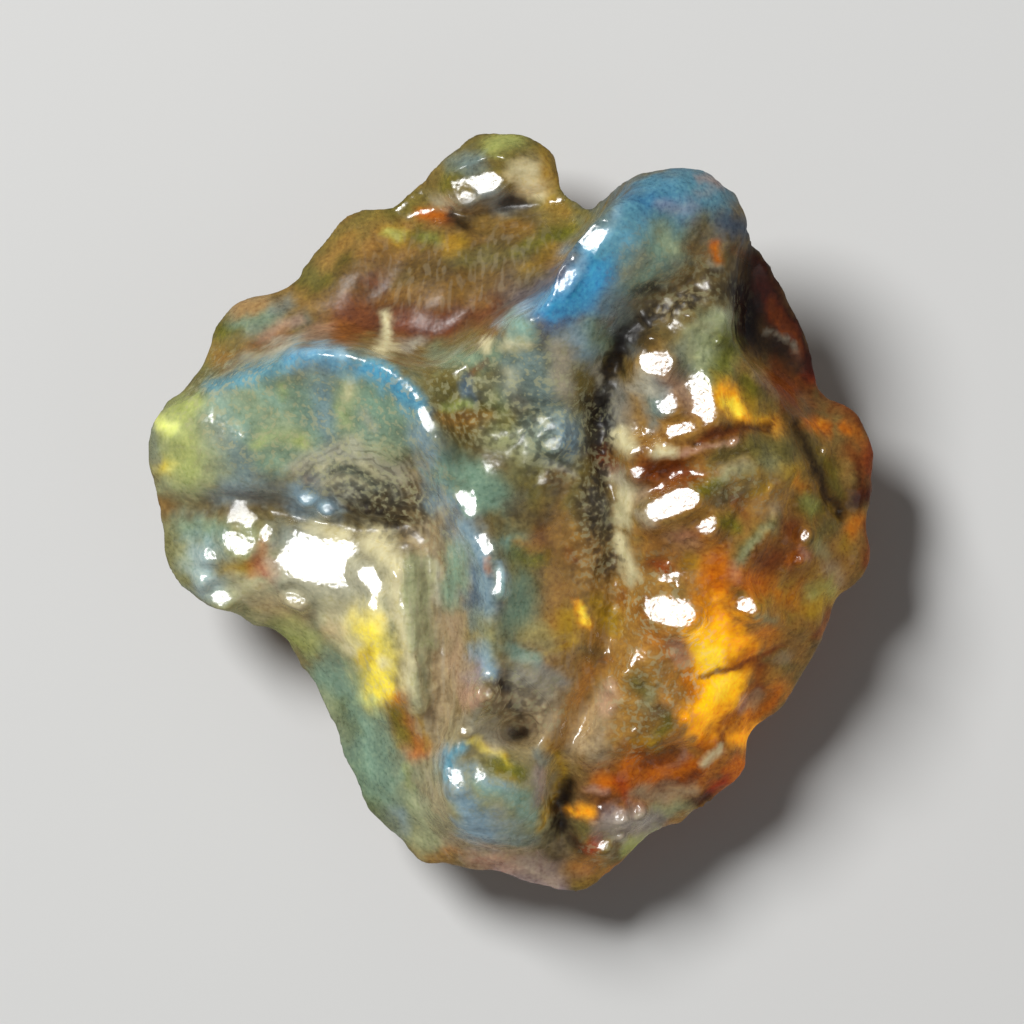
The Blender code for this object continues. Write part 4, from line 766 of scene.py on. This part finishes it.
class Wire:
    """A value in a material's nodes. Maths written on wires adds the nodes that work it out."""

    def __init__(self, tree, socket=None):
        self.tree = tree
        self.socket = socket

    def add(self, kind, settings, sockets, output=0):
        """Adds a node, makes its settings, then gives each socket its value or joins it to a wire."""
        node = self.tree.nodes.new("ShaderNode" + kind)
        for name, value in settings.items():
            setattr(node, name, value)
        for name, value in sockets.items():
            if isinstance(value, Wire):
                self.tree.links.new(value.socket, node.inputs[name])
            else:
                node.inputs[name].default_value = value
        return Wire(self.tree, node.outputs[output])

    def maths(self, operation, *values):
        return self.add("Math", {"operation": operation}, dict(enumerate((self, *values))))

    def __add__(self, other):
        return self.maths("ADD", other)

    def __mul__(self, other):
        return self.maths("MULTIPLY", other)

    __radd__ = __add__
    __rmul__ = __mul__

    def between(self, low, high):
        """0 below low, 1 above high, and a smooth rise between them."""
        return self.add("MapRange", {"interpolation_type": "SMOOTHSTEP"}, {0: self, 1: low, 2: high})

    def under(self, share, colour, how="MIX"):
        """This colour with another laid over it by a share of 0 to 1."""
        return self.add("Mix", {"data_type": "RGBA", "blend_type": how}, {0: share, 6: self, 7: colour}, 2)


resin = bpy.data.materials.new("blue_amber")
resin.use_nodes = True
tree = resin.node_tree
shader = tree.nodes["Principled BSDF"]
nodes = Wire(tree)


def painted(name, output="Fac"):
    return nodes.add("Attribute", {"attribute_name": name}, {}, output)


def per_mm(scale, detail, way):
    """Noise of 0 to 1 with this many swells to the millimetre."""
    return nodes.add("TexNoise", {}, {"Vector": way, "Scale": scale / MM, "Detail": detail})


CREAM_LIGHT, BLACK = (1, 0.93, 0.75, 1), (0, 0, 0, 1)
STREAK_DARK, STREAK_PALE = (0.06, 0.045, 0.025, 1), (0.5, 0.44, 0.3, 1)
BAND_DARK, BAND_PALE = (0.07, 0.05, 0.03, 1), (0.5, 0.45, 0.3, 1)
BANDS_TURN = 25.0  # radians to the millimetre
FLECK_CREAM, CRUST_BLACK = (0.62, 0.61, 0.34, 1), (0.012, 0.01, 0.008, 1)
spots = nodes.add("TexCoord", {}, {}, "Object")
crust, flecks, streaks, banded = (painted(name) for name in ("crust", "flecks", "streaks", "banded"))
lengthwise = nodes.add("Mapping", {}, {"Vector": spots, "Scale": (2.2, 0.45, 1), "Rotation": (0, 0, 0.08)})
fine = per_mm(5.5, 1.0, spots)
grains = per_mm(3.0, 1.0, spots)
drawn_out = per_mm(2.2, 0.0, lengthwise)
colour = painted("tint", "Color").under(fine.between(0.5, 0.72) * 0.34, CREAM_LIGHT, "SOFT_LIGHT")
colour = colour.under(fine.between(0.48, 0.28) * 0.34, BLACK, "SOFT_LIGHT")
colour = colour.under(streaks * drawn_out.between(0.48, 0.7) * 0.36, STREAK_DARK)
colour = colour.under(streaks * drawn_out.between(0.46, 0.3) * 0.35, STREAK_PALE)
band_wave = ((painted("band_gap") + grains * 0.26) * BANDS_TURN).maths("SINE")
dark_bands = band_wave.between(-0.2, 0.9) * grains.between(0.3, 0.52)
colour = colour.under(banded * dark_bands * 0.42, BAND_DARK)
colour = colour.under(banded * band_wave.between(-0.3, -1.0) * 0.35, BAND_PALE)
colour = colour.under(flecks * (grains + fine).between(1.0, 0.78) * 0.5, FLECK_CREAM)
colour = colour.under(crust * (grains * 0.7 + fine * 0.3).between(0.45, 0.6) * 0.85, CRUST_BLACK)
tree.links.new(colour.socket, shader.inputs["Base Color"])
# Painted light: the whole skin glows with its own colour at half strength, and more where painted_glow is
# high, standing in for light passing through the resin and for the ridges' blue glow
painted_inner_light = colour.under(1.0, painted("painted_glow") + 0.5, "MULTIPLY")
tree.links.new(painted_inner_light.socket, shader.inputs["Emission Color"])
shader.inputs["Emission Strength"].default_value = 0.5
roughness = crust * 0.3 + painted("matte") * 0.35 + 0.21
tree.links.new(roughness.socket, shader.inputs["Roughness"])
relief = per_mm(6.0, 0.0, spots) * (painted("beads") * 0.5 + 0.7)
bump = nodes.add("Bump", {}, {"Strength": 0.5, "Distance": 0.03 * MM, "Height": relief})
tree.links.new(bump.socket, shader.inputs["Normal"])
shader.inputs["IOR"].default_value = 1.54
shader.inputs["Transmission Weight"].default_value = 0.5
absorb = nodes.add("VolumeAbsorption", {}, {"Color": (0.88, 0.45, 0.1, 1), "Density": 1000})
tree.links.new(absorb.socket, tree.nodes["Material Output"].inputs["Volume"])
skin.materials.clear()
skin.materials.append(resin)
for face in skin.polygons:
    face.use_smooth = True
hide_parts("amber_lump")
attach(stone, "root")
